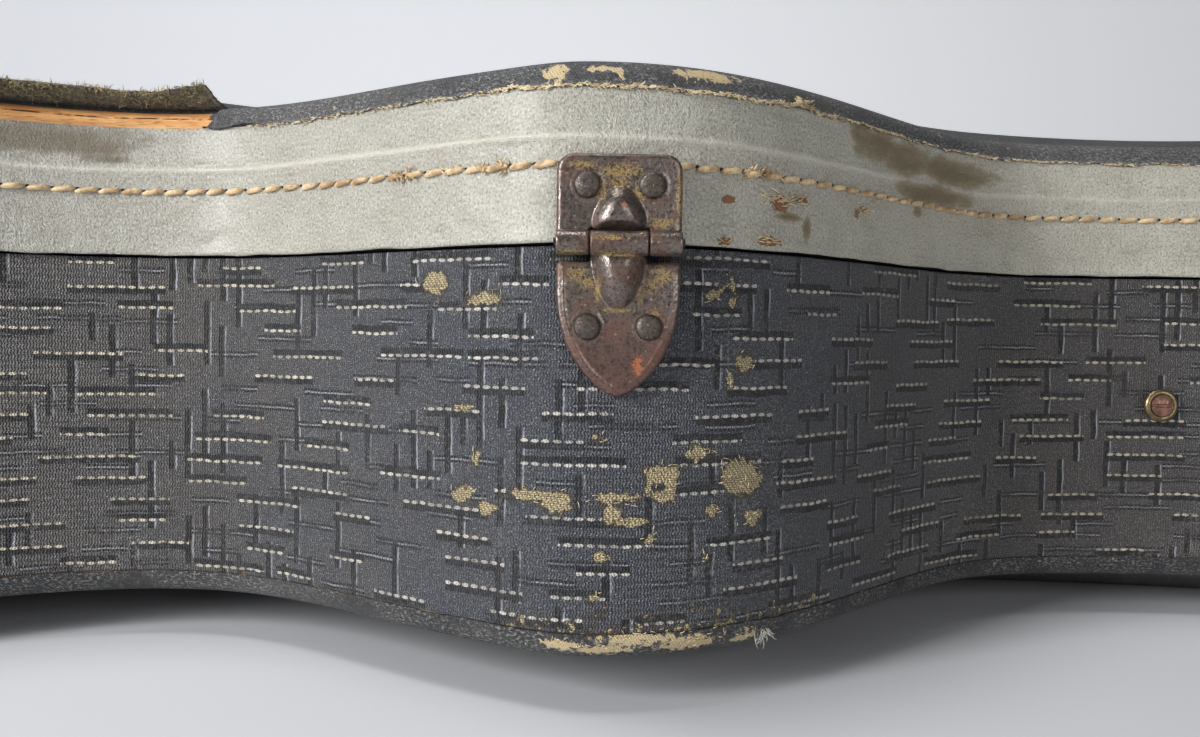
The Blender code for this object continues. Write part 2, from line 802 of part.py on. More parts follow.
def base_leaf_mesh():
    back = GAP - BAND_LIFT
    leaf = plate('base_leaf', base_leaf_outline(), back, LEAF_THICKNESS)
    front = back + LEAF_THICKNESS
    centre_v = -DROP_CENTRE * BASE_LEAF_LENGTH
    parts = [knuckle('middle', -KNUCKLE_HALF, KNUCKLE_HALF)]
    parts.append(embossing('drop', drop_outline(), centre_v, front, DROP_HEIGHT, DROP_LEVELS))
    leaf = combine(leaf, parts, 'UNION')
    return combine(leaf, [pin_bore(HINGE_WIDTH)] + rivet_holes(BASE_RIVET), 'DIFFERENCE')


def pin_mesh():
    half = HINGE_WIDTH / 2 + GAP
    step = half + PIN_HEAD_LENGTH / 2
    end = half + PIN_HEAD_LENGTH
    face = (PIN_RADIUS + PIN_HEAD_RADIUS) / 2
    profile = [(face, -end), (PIN_HEAD_RADIUS, -step), (PIN_HEAD_RADIUS, -half), (PIN_RADIUS, -half)]
    profile += [(PIN_RADIUS, half), (PIN_HEAD_RADIUS, half), (PIN_HEAD_RADIUS, step), (face, end)]
    mesh = turned('hinge_pin', profile, SHAFT_SIDES)
    mesh.transform(Matrix.Rotation(pi / 2, 4, 'Y'))
    return mesh


def rivet_mesh():
    """Domed head, with a shank that fills the leaf's hole."""
    dome = [(RIVET_RADIUS, GAP / 2), (RIVET_RADIUS * 0.85, RIVET_HEIGHT * 0.65)]
    dome.append((RIVET_RADIUS * 0.4, RIVET_HEIGHT))
    profile = [(RIVET_SHANK, -LEAF_THICKNESS - GAP / 2), (RIVET_SHANK, GAP / 2)] + dome
    return turned('rivet', profile, SHAFT_SIDES)


def stop_hinges(lid, first, second, out):
    """One hinge on each bout, where a straight line touches it."""
    along = (second - first).normalized()
    spots = {'upper': second + along * UPPER_HINGE_SHIFT, 'lower': first}
    leaf_top = lid_leaf_mesh()
    leaf_low = base_leaf_mesh()
    pin = pin_mesh()
    rivet = rivet_mesh()
    for name, spot in spots.items():
        frame = local_axes(spot + out * BAND_LIFT, out, SEAM_Z)
        place(f'hinge_lid_leaf_{name}', leaf_top, rusty_steel(), frame, lid)
        place(f'hinge_base_leaf_{name}', leaf_low, rusty_steel(), frame)
        place(f'hinge_pin_{name}', pin, rivet_steel(), frame @ Matrix.Translation((0, 0, PIN_OUT)))
        lid_front = GAP + LEAF_THICKNESS
        base_front = lid_front - BAND_LIFT
        for side, word in ((-1, 'left'), (1, 'right')):
            u, v = LID_RIVET
            seat = frame @ Matrix.Translation((side * u, v, lid_front))
            place(f'lid_rivet_{name}_{word}', rivet, rivet_steel(), seat, lid)
            u, v = BASE_RIVET
            seat = frame @ Matrix.Translation((side * u, v, base_front))
            place(f'base_rivet_{name}_{word}', rivet, rivet_steel(), seat)


# Draw latches

def latch_plate_mesh():
    half = LATCH_PLATE_WIDTH / 2
    top = -LATCH_PLATE_TOP
    bottom = -LATCH_PLATE_BOTTOM
    turn = LEAF_EDGE * 2
    back = GAP - BAND_LIFT
    outline = corner((half - turn, top - turn), turn, 0.0, 2)
    outline += corner((turn - half, top - turn), turn, pi / 2, 2)
    outline += corner((turn - half, bottom + turn), turn, pi, 2)
    outline += corner((half - turn, bottom + turn), turn, 3 * pi / 2, 2)
    mesh = plate('latch_plate', outline, back, LATCH_PLATE_THICKNESS)
    ears = []
    start = LEVER_WIDTH / 2 + GAP
    reach = LEVER_PIVOT_W + LEVER_BARREL
    for side in (-1, 1):
        u0, u1 = sorted((side * start, side * (start + EAR_THICKNESS)))
        low = (u0, LEVER_PIVOT_V - LEVER_BARREL, back + LATCH_PLATE_THICKNESS / 2)
        ears.append(box('ear', low, (u1, LEVER_PIVOT_V + LEVER_BARREL, reach)))
    mesh = combine(mesh, ears, 'UNION')
    far = LATCH_PLATE_WIDTH
    bore = TRUNNION_RADIUS + PIN_CLEARANCE
    start = (-far, LEVER_PIVOT_V, LEVER_PIVOT_W)
    hole = rod('hole', start, (far, LEVER_PIVOT_V, LEVER_PIVOT_W), bore, SHAFT_SIDES)
    return combine(mesh, [hole], 'DIFFERENCE')


def lever_mesh():
    """Lever about its own pivot: barrel with trunnions, plate, bail eye and raised tip."""
    half = LEVER_WIDTH / 2
    back = -LEVER_BARREL
    front = back + LEVER_THICKNESS
    tip = -LEVER_LENGTH
    rise = LEVER_THICKNESS * 1.3
    bend = tip + LEVER_LENGTH * 0.2
    profile = [(0.0, back), (bend, back), (tip, back + rise)]
    profile += [(tip, front + rise), (bend, front), (0.0, front)]
    mesh = prism('latch_lever', profile, -half, half)
    # The profile lies in v and w, and is turned to stand across u
    mesh.transform(Matrix(((0, 0, 1, 0), (1, 0, 0, 0), (0, 1, 0, 0), (0, 0, 0, 1))))
    ear_out = half + GAP + EAR_THICKNESS
    eye_w = BAIL_WIRE + GAP + front
    eye = BAIL_WIRE + GAP + LEVER_THICKNESS
    parts = [
        rod('barrel', (-half, 0, 0), (half, 0, 0), LEVER_BARREL, BARREL_SIDES),
        rod('trunnion', (-ear_out, 0, 0), (ear_out, 0, 0), TRUNNION_RADIUS, SHAFT_SIDES),
        rod('eye', (-half, -BAIL_PIVOT_DROP, eye_w), (half, -BAIL_PIVOT_DROP, eye_w), eye, BARREL_SIDES),
    ]
    mesh = combine(mesh, parts, 'UNION')
    start = (-LATCH_PLATE_WIDTH, -BAIL_PIVOT_DROP, eye_w)
    end = (LATCH_PLATE_WIDTH, -BAIL_PIVOT_DROP, eye_w)
    bore = rod('bore', start, end, BAIL_WIRE + PIN_CLEARANCE, SHAFT_SIDES)
    return combine(mesh, [bore], 'DIFFERENCE')


def bail_pivot_w():
    """Distance of the bail's bar from the lever's pivot, out of the wall."""
    return BAIL_WIRE + GAP + LEVER_THICKNESS - LEVER_BARREL


def bail_mesh():
    """Closed wire loop that hangs from its top bar."""
    half = LEVER_WIDTH / 2 + GAP * 2 + EAR_THICKNESS + BAIL_WIRE + GAP
    turn = BAIL_CORNER
    small = BAIL_WIRE * 1.5
    low = -BAIL_LENGTH
    path = corner((half - small, -small), small, 0.0, 2) + corner((small - half, -small), small, pi / 2, 2)
    path += corner((turn - half, low + turn), turn, pi, 3)
    path += corner((half - turn, low + turn), turn, 3 * pi / 2, 3)
    return swept('latch_bail', path, [BAIL_WIRE] * len(path), 6, True)


def catch_mesh():
    """Plate with a ledge and a lip for the bail's bar, as one bent profile."""
    low = KNUCKLE_RADIUS
    back = GAP
    front = back + CATCH_THICKNESS
    seat = CATCH_LEDGE_V + CATCH_THICKNESS
    inner = front + 2 * BAIL_WIRE + 2 * GAP
    outer = inner + CATCH_THICKNESS
    profile = [(low, back), (CATCH_TOP, back), (CATCH_TOP, front), (seat, front), (seat, inner)]
    profile += [(seat + CATCH_LIP, inner), (seat + CATCH_LIP, outer), (CATCH_LEDGE_V, outer)]
    profile += [(CATCH_LEDGE_V, front), (low, front)]
    mesh = prism('latch_catch', profile, -CATCH_WIDTH / 2, CATCH_WIDTH / 2)
    mesh.transform(Matrix(((0, 0, 1, 0), (1, 0, 0, 0), (0, 1, 0, 0), (0, 0, 0, 1))))
    return mesh


def draw_latches(lid):
    plate_shape = latch_plate_mesh()
    lever = lever_mesh()
    bail = bail_mesh()
    catch = catch_mesh()
    for name, x in zip(('tail', 'bout', 'head'), LATCH_XS):
        frame = wall_frame(x, 1, SEAM_Z, BAND_LIFT)
        place(f'latch_plate_{name}', plate_shape, rusty_steel(), frame)
        place(f'latch_catch_{name}', catch, rusty_steel(), frame, lid)
        lever_frame = frame @ Matrix.Translation((0, LEVER_PIVOT_V, LEVER_PIVOT_W))
        lever_body = place(f'latch_lever_{name}', lever, rusty_steel(), lever_frame)
        bpy.context.view_layer.update()
        bail_frame = lever_frame @ Matrix.Translation((0, -BAIL_PIVOT_DROP, bail_pivot_w()))
        place(f'latch_bail_{name}', bail, rivet_steel(), bail_frame, lever_body)


# Handle

def handle_reach():
    """Half of the handle's length, out to the ends of its stubs."""
    return HANDLE_HALF_SPAN + MOUNT_WIDTH / 2 + GAP * 4


def handle_axis_y():
    """The handle's pivot line, clear of the wall at the ends of its stubs."""
    ends = [wall_frame(side * handle_reach(), 1, HANDLE_AXIS_Z, 0.0) for side in (-1, 1)]
    return max(end.translation.y for end in ends) + HANDLE_STAND_OFF


def handle_mounts():
    """Blocks seated on the wall, each with a bore for the handle's stub."""
    axis_y = handle_axis_y()
    bore = HANDLE_STUB_RADIUS + PIN_CLEARANCE
    for side, name in ((-1, 'tail'), (1, 'head')):
        x = side * HANDLE_HALF_SPAN
        start = (x - MOUNT_WIDTH / 2, axis_y, HANDLE_AXIS_Z)
        end = (x + MOUNT_WIDTH / 2, axis_y, HANDLE_AXIS_Z)
        eye = rod(f'handle_mount_{name}', start, end, MOUNT_RADIUS, BARREL_SIDES)
        wall_y = wall_frame(x, 1, HANDLE_AXIS_Z, 0.0).translation.y
        inside = wall_y - MOUNT_WIDTH
        web_half = MOUNT_RADIUS * 0.92
        web_low = (start[0], inside, HANDLE_AXIS_Z - web_half)
        web = box('web', web_low, (end[0], axis_y, HANDLE_AXIS_Z + web_half))
        foot_frame = wall_frame(x, 1, HANDLE_AXIS_Z, 0.0)
        foot_low = (-MOUNT_FOOT_HALF, -MOUNT_FOOT_HEIGHT / 2, -MOUNT_WIDTH)
        foot_high = (MOUNT_FOOT_HALF, MOUNT_FOOT_HEIGHT / 2, GAP + LEAF_THICKNESS)
        foot = box('foot', foot_low, foot_high)
        foot.transform(foot_frame)
        mesh = combine(eye, [web, foot], 'UNION')
        hole_start = (x - MOUNT_WIDTH, axis_y, HANDLE_AXIS_Z)
        hole = rod('hole', hole_start, (x + MOUNT_WIDTH, axis_y, HANDLE_AXIS_Z), bore, BARREL_SIDES)
        mesh = combine(mesh, [body_block(), hole], 'DIFFERENCE')
        place(f'handle_mount_{name}', mesh, rusty_steel())


def handle_grip():
    """Leather grip on a bent core, hanging from its two stubs."""
    bend = HANDLE_HALF_SPAN - MOUNT_WIDTH / 2 - HANDLE_STUB_RADIUS * 2
    half_path = [(handle_reach(), 0.0, HANDLE_STUB_RADIUS)]
    for inwards, down, radius in GRIP_PATH:
        x = bend - inwards * HANDLE_DROP
        half_path.append((x, -down * HANDLE_DROP, radius * HANDLE_GRIP_RADIUS))
    middle = (0.0, -HANDLE_DROP, HANDLE_GRIP_RADIUS)
    points = half_path + [middle] + [(-x, z, radius) for x, z, radius in half_path[::-1]]
    path = [(x, z) for x, z, _ in points]
    radii = [r for _, _, r in points]
    mesh = swept('handle_grip', path, radii, 10, False)
    upright = Matrix.Rotation(pi / 2, 4, 'X')
    mesh.transform(upright)
    place('handle_grip', mesh, leather(), Matrix.Translation((0, handle_axis_y(), HANDLE_AXIS_Z)))


# Inside fittings

def rest_profile(half, top, floor_z, notch_half, notch_depth):
    """Block with a round notch in its top, as an outline in y and z."""
    profile = [(-half, floor_z), (half, floor_z), (half, top), (notch_half, top)]
    for angle in np.linspace(0, -pi, 9)[1:-1]:
        profile.append((notch_half * cos(angle), top + notch_depth * sin(angle)))
    return profile + [(-notch_half, top), (-half, top)]


def across_case(mesh, x):
    """Turn a profile drawn in y and z to stand across the case at a length x."""
    mesh.transform(Matrix(((0, 0, 1, x), (1, 0, 0, 0), (0, 1, 0, 0), (0, 0, 0, 1))))
    return mesh


def neck_rest():
    half_length = NECK_REST_LENGTH / 2
    profile = rest_profile(UPPER_BOUT_HALF, NECK_REST_TOP, 0.0, NECK_NOTCH_HALF, NECK_NOTCH_DEPTH)
    block = across_case(prism('neck_rest', profile, -half_length, half_length), NECK_REST_X)
    place('neck_rest', combine(block, [cavity()], 'INTERSECT'), plywood())


def neck_rest_pad():
    """Plush pad bent into the notch."""
    half_length = NECK_REST_LENGTH / 2
    outer_half = NECK_NOTCH_HALF - GAP
    outer_depth = NECK_NOTCH_DEPTH - GAP
    outline = []
    for angle in np.linspace(0, -pi, 9):
        outline.append((outer_half * cos(angle), NECK_REST_TOP + outer_depth * sin(angle)))
    for angle in np.linspace(-pi, 0, 9):
        depth = (outer_depth - PAD) * sin(angle)
        outline.append(((outer_half - PAD) * cos(angle), NECK_REST_TOP + depth))
    pad = across_case(prism('neck_rest_pad', outline, -half_length, half_length), NECK_REST_X)
    place('neck_rest_pad', pad, plush())


def compartment_wall():
    half = BOX_WALL / 2
    high = (BOX_WALL_X + half, HEAD_HALF, BOX_LID_Z)
    wall = box('compartment_wall', (BOX_WALL_X - half, -HEAD_HALF, 0.0), high)
    place('compartment_wall', combine(wall, [cavity()], 'INTERSECT'), plush())


def compartment_span():
    """Length of the hinge strip, from the neck rest to the end wall."""
    return NECK_REST_X + NECK_REST_LENGTH / 2 + GAP, BOX_WALL_X - BOX_WALL / 2 - GAP


def compartment_hinge_strip():
    """Batten along the wall with an ear at each end for the lid's pin."""
    start, end = compartment_span()
    axis_z = BOX_LID_Z + GAP + BOX_LID / 2
    back_y = BOX_AXIS_Y - BOX_BARREL - GAP * 2
    batten_top = axis_z - BOX_BARREL
    batten_low = batten_top - 2 * BOX_WALL
    batten = box('strip', (start, -HEAD_HALF, batten_low), (end, back_y, batten_top))
    ears = []
    for ear_start in (start, end - BOX_WALL):
        low = (ear_start, -HEAD_HALF, batten_low)
        ears.append(box('ear', low, (ear_start + BOX_WALL, BOX_AXIS_Y + BOX_BARREL, axis_z + BOX_BARREL)))
    strip = combine(batten, ears, 'UNION')
    radius = BOX_PIN + PIN_CLEARANCE
    hole_end = (end + BOX_WALL, BOX_AXIS_Y, axis_z)
    hole = rod('hole', (start - BOX_WALL, BOX_AXIS_Y, axis_z), hole_end, radius, SHAFT_SIDES)
    strip = combine(strip, [hole], 'DIFFERENCE')
    place('compartment_hinge_strip', combine(strip, [cavity()], 'INTERSECT'), plywood())
    pin_start = (start, BOX_AXIS_Y, axis_z)
    pin = rod('compartment_pin', pin_start, (end, BOX_AXIS_Y, axis_z), BOX_PIN, SHAFT_SIDES)
    place('compartment_pin', pin, aged_brass())


def compartment_lid():
    start, end = compartment_span()
    axis_z = BOX_LID_Z + GAP + BOX_LID / 2
    flap = pivot('compartment_pivot', Matrix.Translation((start, BOX_AXIS_Y, axis_z)))
    inner_start = start + BOX_WALL + GAP
    inner_end = end - BOX_WALL - GAP
    lid_end = end + GAP + BOX_WALL
    clear_y = BOX_AXIS_Y + BOX_BARREL * 2
    far_y = BOX_AXIS_Y + BOX_LID_WIDTH
    low_z = axis_z - BOX_LID / 2
    high_z = axis_z + BOX_LID / 2
    outline = [(start, clear_y), (inner_start, clear_y), (inner_start, BOX_AXIS_Y), (inner_end, BOX_AXIS_Y)]
    outline += [(inner_end, clear_y), (lid_end, clear_y), (lid_end, far_y), (start, far_y)]
    board = prism('compartment_lid', outline, low_z, high_z)
    barrel_start = (inner_start, BOX_AXIS_Y, axis_z)
    barrel = rod('barrel', barrel_start, (inner_end, BOX_AXIS_Y, axis_z), BOX_BARREL, BARREL_SIDES)
    bore_radius = BOX_PIN + PIN_CLEARANCE
    bore_start = (start - BOX_WALL, BOX_AXIS_Y, axis_z)
    bore = rod('bore', bore_start, (end, BOX_AXIS_Y, axis_z), bore_radius, SHAFT_SIDES)
    board = combine(combine(board, [barrel], 'UNION'), [bore], 'DIFFERENCE')
    place('compartment_lid', board, plush(), parent=flap)
    middle = (start + end) / 2
    tab_low = (middle - TAB_WIDTH / 2, far_y - TAB_LENGTH, high_z + GAP)
    tab_high = (middle + TAB_WIDTH / 2, far_y + GAP, high_z + GAP + TAB_THICKNESS)
    place('compartment_tab', box('compartment_tab', tab_low, tab_high), leather(), parent=flap)


def washer_seat():
    """Heights of the foot and the rim of the washer's countersunk seat."""
    return WASHER_HEIGHT * 0.35, WASHER_HEIGHT * 0.8


def washer_mesh():
    foot, rim = washer_seat()
    hole = SCREW_NECK + GAP
    outer = [(WASHER_RADIUS, GAP), (WASHER_RADIUS * 0.93, WASHER_HEIGHT * 0.7)]
    outer.append((WASHER_RADIUS * 0.82, WASHER_HEIGHT))
    inner = [(SCREW_RADIUS + GAP, rim), (hole, foot), (hole, GAP)]
    angles = np.arange(BARREL_SIDES) / BARREL_SIDES * 2 * pi
    rings = [
        np.column_stack([radius * np.cos(angles), radius * np.sin(angles), np.full(BARREL_SIDES, height)])
        for radius, height in outer + inner
    ]
    return ring_mesh('cup_washer', rings, 'join')


def screw_mesh():
    """Oval head with a slot, on a stub of its shank, one gap above the washer's seat."""
    foot, rim = (height + GAP for height in washer_seat())
    profile = [(SCREW_NECK, GAP), (SCREW_NECK, foot), (SCREW_RADIUS, rim)]
    profile += [(SCREW_RADIUS * 0.75, rim + SCREW_DOME * 0.67), (SCREW_RADIUS * 0.3, rim + SCREW_DOME)]
    head = turned('side_screw', profile, BARREL_SIDES)
    slot_low = (-WASHER_RADIUS, -SLOT_WIDTH / 2, rim)
    slot = box('slot', slot_low, (WASHER_RADIUS, SLOT_WIDTH / 2, rim + SCREW_DOME * 2))
    return combine(head, [slot], 'DIFFERENCE')


def side_screws():
    washer = washer_mesh()
    screw = screw_mesh()
    for side, name in ((-1, 'hinge_side'), (1, 'latch_side')):
        frame = wall_frame(NECK_REST_X, side, SCREW_Z, 0.0)
        place(f'cup_washer_{name}', washer, aged_brass(), frame)
        place(f'side_screw_{name}', screw, aged_brass(), frame)


def clear_scene():
    for body in list(bpy.data.objects):
        bpy.data.objects.remove(body)


def build():
    clear_scene()
    first, second, out = hinge_line()
    axis_spot = second + out * (BAND_LIFT + PIN_OUT)
    lid = pivot('lid_pivot', local_axes(axis_spot, out, SEAM_Z))
    base_rim()
    back_panel()
    back_covering()
    side_covering()
    base_lining()
    lid_rim(lid)
    lid_panel(lid)
    lid_covering(lid)
    lid_band(lid)
    lid_lining(lid)
    stop_hinges(lid, first, second, out)
    draw_latches(lid)
    handle_mounts()
    handle_grip()
    neck_rest()
    neck_rest_pad()
    compartment_wall()
    compartment_hinge_strip()
    compartment_lid()
    side_screws()


build()
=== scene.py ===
import math

import bpy
import numpy as np
from mathutils import Matrix, Vector


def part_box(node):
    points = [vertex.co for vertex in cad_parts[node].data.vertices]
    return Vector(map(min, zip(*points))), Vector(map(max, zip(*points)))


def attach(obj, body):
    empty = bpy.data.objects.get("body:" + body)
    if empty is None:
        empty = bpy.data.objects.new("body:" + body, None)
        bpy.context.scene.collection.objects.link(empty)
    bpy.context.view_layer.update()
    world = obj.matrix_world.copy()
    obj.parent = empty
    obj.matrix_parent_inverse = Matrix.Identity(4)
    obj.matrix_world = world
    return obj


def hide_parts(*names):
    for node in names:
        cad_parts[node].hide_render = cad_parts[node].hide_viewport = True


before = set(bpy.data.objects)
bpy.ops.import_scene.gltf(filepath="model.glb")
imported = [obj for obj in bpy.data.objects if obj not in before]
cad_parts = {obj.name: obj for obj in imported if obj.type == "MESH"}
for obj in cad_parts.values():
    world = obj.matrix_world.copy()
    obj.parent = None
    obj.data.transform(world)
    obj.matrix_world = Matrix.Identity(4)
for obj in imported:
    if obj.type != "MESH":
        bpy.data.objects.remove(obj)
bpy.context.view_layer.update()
print("stage: frame loaded,", len(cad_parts), "nodes")

# Outline of the covered case, the same stations as the solids
case = dict(
    tailX=-0.345, lowerBoutX=-0.228, lowerBoutHalf=0.236, waistHalf=0.1405,
    upperBoutX=0.115, upperBoutHalf=0.179, neckX=0.325, neckHalf=0.054,
    headFlatX=0.700, headHalf=0.074, headX=0.785, headCorner=0.036, tailSquareness=0.84,
    waistRun=((0.20, 0.070), (0.386, 0.147), (0.759, 0.813)),
    boutRun=((0.296, 0.210), (0.609, 0.616), (0.861, 0.901)),
    shoulderRun=((0.048, 0.008), (0.160, 0.084), (0.264, 0.232), (0.430, 0.584), (0.595, 0.864), (0.781, 0.965)),
    neckRun=((0.333, 0.405), (0.680, 0.800)),
    backEdgeZ=0.013, seamZ=0.1148, lidEdgeZ=0.160, edgeRadius=0.006,
    lidArch=0.0205, lidNeckArch=0.009, archRun=0.150, crownLength=0.80, crownWidth=0.15,
    cloth=0.001, gap=0.0003, plyWall=0.005, plyPanel=0.004, lining=0.004,
    seamGap=0.0003, rawEdgeZ=0.1523, stripDepth=0.0017, lidRimTopZ=0.1564, backLap=0.0067,
)


def stretch(start, end, shares):
    return [(start[0] + a * (end[0] - start[0]), start[1] + b * (end[1] - start[1])) for a, b in shares]


# Half outline from tail to head: named places joined by shares of the way and of the change
def stations(c):
    lower = (c["lowerBoutX"], c["lowerBoutHalf"])
    waist = (0.0, c["waistHalf"])
    upper = (c["upperBoutX"], c["upperBoutHalf"])
    neck = (c["neckX"], c["neckHalf"])
    head = (c["headFlatX"], c["headHalf"])
    turns = np.radians([18, 36, 54, 72])
    tail = c["lowerBoutX"] + (c["tailX"] - c["lowerBoutX"]) * np.cos(turns) ** c["tailSquareness"]
    wide = c["lowerBoutHalf"] * np.sin(turns) ** c["tailSquareness"]
    points = [(c["tailX"], 0.0)] + list(zip(tail, wide)) + [lower]
    points += stretch(lower, waist, c["waistRun"]) + [waist] + stretch(waist, upper, c["boutRun"]) + [upper]
    points += stretch(upper, neck, c["shoulderRun"]) + [neck] + stretch(neck, head, c["neckRun"]) + [head]
    for turn in (math.pi / 2, math.pi / 4, 0.0):
        points.append((c["headX"] - c["headCorner"] * (1 - math.cos(turn)),
                       c["headHalf"] - c["headCorner"] * (1 - math.sin(turn))))
    return points + [(c["headX"], 0.0)]


# Closed cubic spline: the bend at each station solves a cyclic three-term system, then each
# span is the cubic of its two bends, sampled as whole arrays
def closedSpline(points, samples):
    points = np.array(points)
    count = len(points)
    after = np.roll(points, -1, axis=0)
    step = np.linalg.norm(after - points, axis=1)
    slope = (after - points) / step[:, None]
    index = np.arange(count)
    system = np.zeros((count, count))
    system[index, index - 1] += np.roll(step, 1)
    system[index, index] += 2 * (np.roll(step, 1) + step)
    system[index, (index + 1) % count] += step
    bend = np.linalg.solve(system, 6 * (slope - np.roll(slope, 1, axis=0)))
    bendAfter = np.roll(bend, -1, axis=0)
    t = (np.arange(samples) / samples)[None, :, None] * step[:, None, None]
    left = step[:, None, None] - t
    curve = (bend[:, None] * left ** 3 + bendAfter[:, None] * t ** 3) / (6 * step[:, None, None])
    curve += (points / step[:, None] - bend * step[:, None] / 6)[:, None] * left
    curve += (after / step[:, None] - bendAfter * step[:, None] / 6)[:, None] * t
    return curve.reshape(-1, 2)


# Unit directions along a closed row of flat points
def directions(points):
    run = np.roll(points, -1, axis=0) - np.roll(points, 1, axis=0)
    return run / np.linalg.norm(run, axis=1)[:, None]


def fullTurn(count):
    return np.arange(count) / count * 2 * math.pi


# The way round the case: s runs from the tail along the hinge side to the head and back
halfStations = [(x, -y) for x, y in stations(case)]
outline = closedSpline(halfStations + [(x, -y) for x, y in halfStations[-2:0:-1]], 60)
outlineClosed = np.vstack([outline, outline[:1]])
way = np.concatenate([[0.0], np.cumsum(np.linalg.norm(np.diff(outlineClosed, axis=0), axis=1))])
perimeter = way[-1]
tangent = directions(outline)
normalClosed = np.column_stack([tangent[:, 1], -tangent[:, 0]])
normalClosed = np.vstack([normalClosed, normalClosed[:1]])


def flatAt(s):
    s = np.mod(s, perimeter)
    return np.stack([np.interp(s, way, outlineClosed[:, k]) for k in (0, 1)], axis=-1)


def normalAt(s):
    s = np.mod(s, perimeter)
    normal = np.stack([np.interp(s, way, normalClosed[:, k]) for k in (0, 1)], axis=-1)
    return normal / np.linalg.norm(normal, axis=-1, keepdims=True)


# Point on the wall: the outline at s, moved outwards by out, at height z
def wallAt(s, out, z):
    s, out, z = np.broadcast_arrays(s, out, z)
    flat = flatAt(s) + normalAt(s) * out[..., None]
    return np.concatenate([flat, z[..., None]], axis=-1)


crownCentre = (case["tailX"] + case["headX"]) / 2


# The way round whose outline point is nearest to an x, on the hinge side or the latch side
def nearestWay(x, sign):
    span = np.linspace(0.05, perimeter / 2 - 0.05, 6000)
    flat = flatAt(span)
    s = span[np.argmin(np.abs(flat[:, 0] - x))]
    return s if sign < 0 else perimeter - s


# Meridian from the outline to the crown, its length, and how squarely it leaves the wall
def meridianAt(s):
    flat = flatAt(s)
    crown = np.stack([crownCentre + case["crownLength"] * (flat[..., 0] - crownCentre),
                      case["crownWidth"] * flat[..., 1]], axis=-1)
    run = crown - flat
    length = np.linalg.norm(run, axis=-1)
    slant = -np.sum(run * normalAt(s), axis=-1) / length
    return flat, run, length, slant


def backRise(x):
    return np.full_like(x, -case["backEdgeZ"])


def lidRise(x):
    share = np.clip((x - case["upperBoutX"]) / (case["neckX"] - case["upperBoutX"]), 0, 1)
    share = share * share * (3 - 2 * share)
    return case["lidArch"] + (case["lidNeckArch"] - case["lidArch"]) * share


# Arch: a half cosine of the distance run along the meridian, scaled by the rise at that x
def archAt(s, t, edgeZ, rise):
    flat, run, length, _ = meridianAt(s)
    place = flat + np.asarray(t)[..., None] * run
    share = 0.5 - 0.5 * np.cos(np.pi * np.minimum(1, t * length / np.minimum(case["archRun"], length)))
    z = edgeZ + rise(place[..., 0]) * share
    return np.concatenate([place, z[..., None]], axis=-1)


# Rows of an arch along the meridians, from a depth inside the outline up to the crown, each
# with its own uv height
def archRows(cols, depth, z, rise, shares, uvStart=0.165):
    length, slant = meridianAt(cols)[2:]
    first = depth / (length * slant)
    steps = [first + (1 - first) * share for share in shares]
    return [(archAt(cols, t, z, rise), uvStart + np.mean(t * length)) for t in steps]


# Columns round the case, close together where the photograph looks
fineFrom, fineTo = 0.440, 0.935


def columns(fineStep, coarseStep, bothSides):
    ends = [(0, fineFrom, coarseStep), (fineFrom, fineTo, fineStep), (fineTo, perimeter / 2, coarseStep)]
    half = np.concatenate([np.linspace(a, b, int((b - a) / step) + 1, endpoint=False) for a, b, step in ends])
    if bothSides:
        return np.concatenate([half, [perimeter / 2], perimeter - half[:0:-1]])
    far = np.linspace(perimeter / 2, perimeter, int(perimeter / 2 / coarseStep), endpoint=False)
    return np.concatenate([half, far])


# Smooth random field on the wall: a few dozen seeded waves, close to -1..1
def ripples(s, z, seed, longest, shortest, count=24, upright=1.0):
    rng = np.random.default_rng(seed)
    s, z = np.broadcast_arrays(s, z)
    size = longest * (shortest / longest) ** rng.random(count)
    heading = rng.random(count) * 2 * np.pi
    turns = np.maximum(1, np.round(np.cos(heading) * perimeter / size)) * np.sign(np.cos(heading) + 1e-9)
    rate = np.sin(heading) / size * upright
    phase = rng.random(count) * 2 * np.pi
    weight = (size / longest) ** 0.5
    angle = 2 * np.pi * (s[..., None] * (turns / perimeter) + z[..., None] * rate) + phase
    return np.sum(weight * np.sin(angle), axis=-1) / math.sqrt(np.sum(weight ** 2) / 2) * 0.5


# Painted marks: each spot is (s, z, half length, half height), full in the middle
def painted(s, z, spots):
    s, z = np.broadcast_arrays(s, z)
    total = np.zeros(s.shape)
    for place, height, wide, tall in spots:
        near = np.sqrt(((s - place) / wide) ** 2 + ((z - height) / tall) ** 2)
        total = np.maximum(total, np.clip(1.5 - near, 0, 1))
    return total


# Quads of a grid of points, and the (row, column) of each of their corners
def gridFaces(rows, cols, wrapRows, wrapCols):
    i = np.arange(rows if wrapRows else rows - 1)[:, None]
    j = np.arange(cols if wrapCols else cols - 1)[None, :]
    nextRow, nextCol = (i + 1) % rows, (j + 1) % cols
    quads = np.stack([i * cols + j, i * cols + nextCol, nextRow * cols + nextCol, nextRow * cols + j], axis=-1)
    corners = np.stack([np.broadcast_arrays(i, j), np.broadcast_arrays(i, j + 1),
                        np.broadcast_arrays(i + 1, j + 1), np.broadcast_arrays(i + 1, j)], axis=0)
    return quads.reshape(-1, 4), corners.transpose(2, 3, 0, 1).reshape(-1, 4, 2)


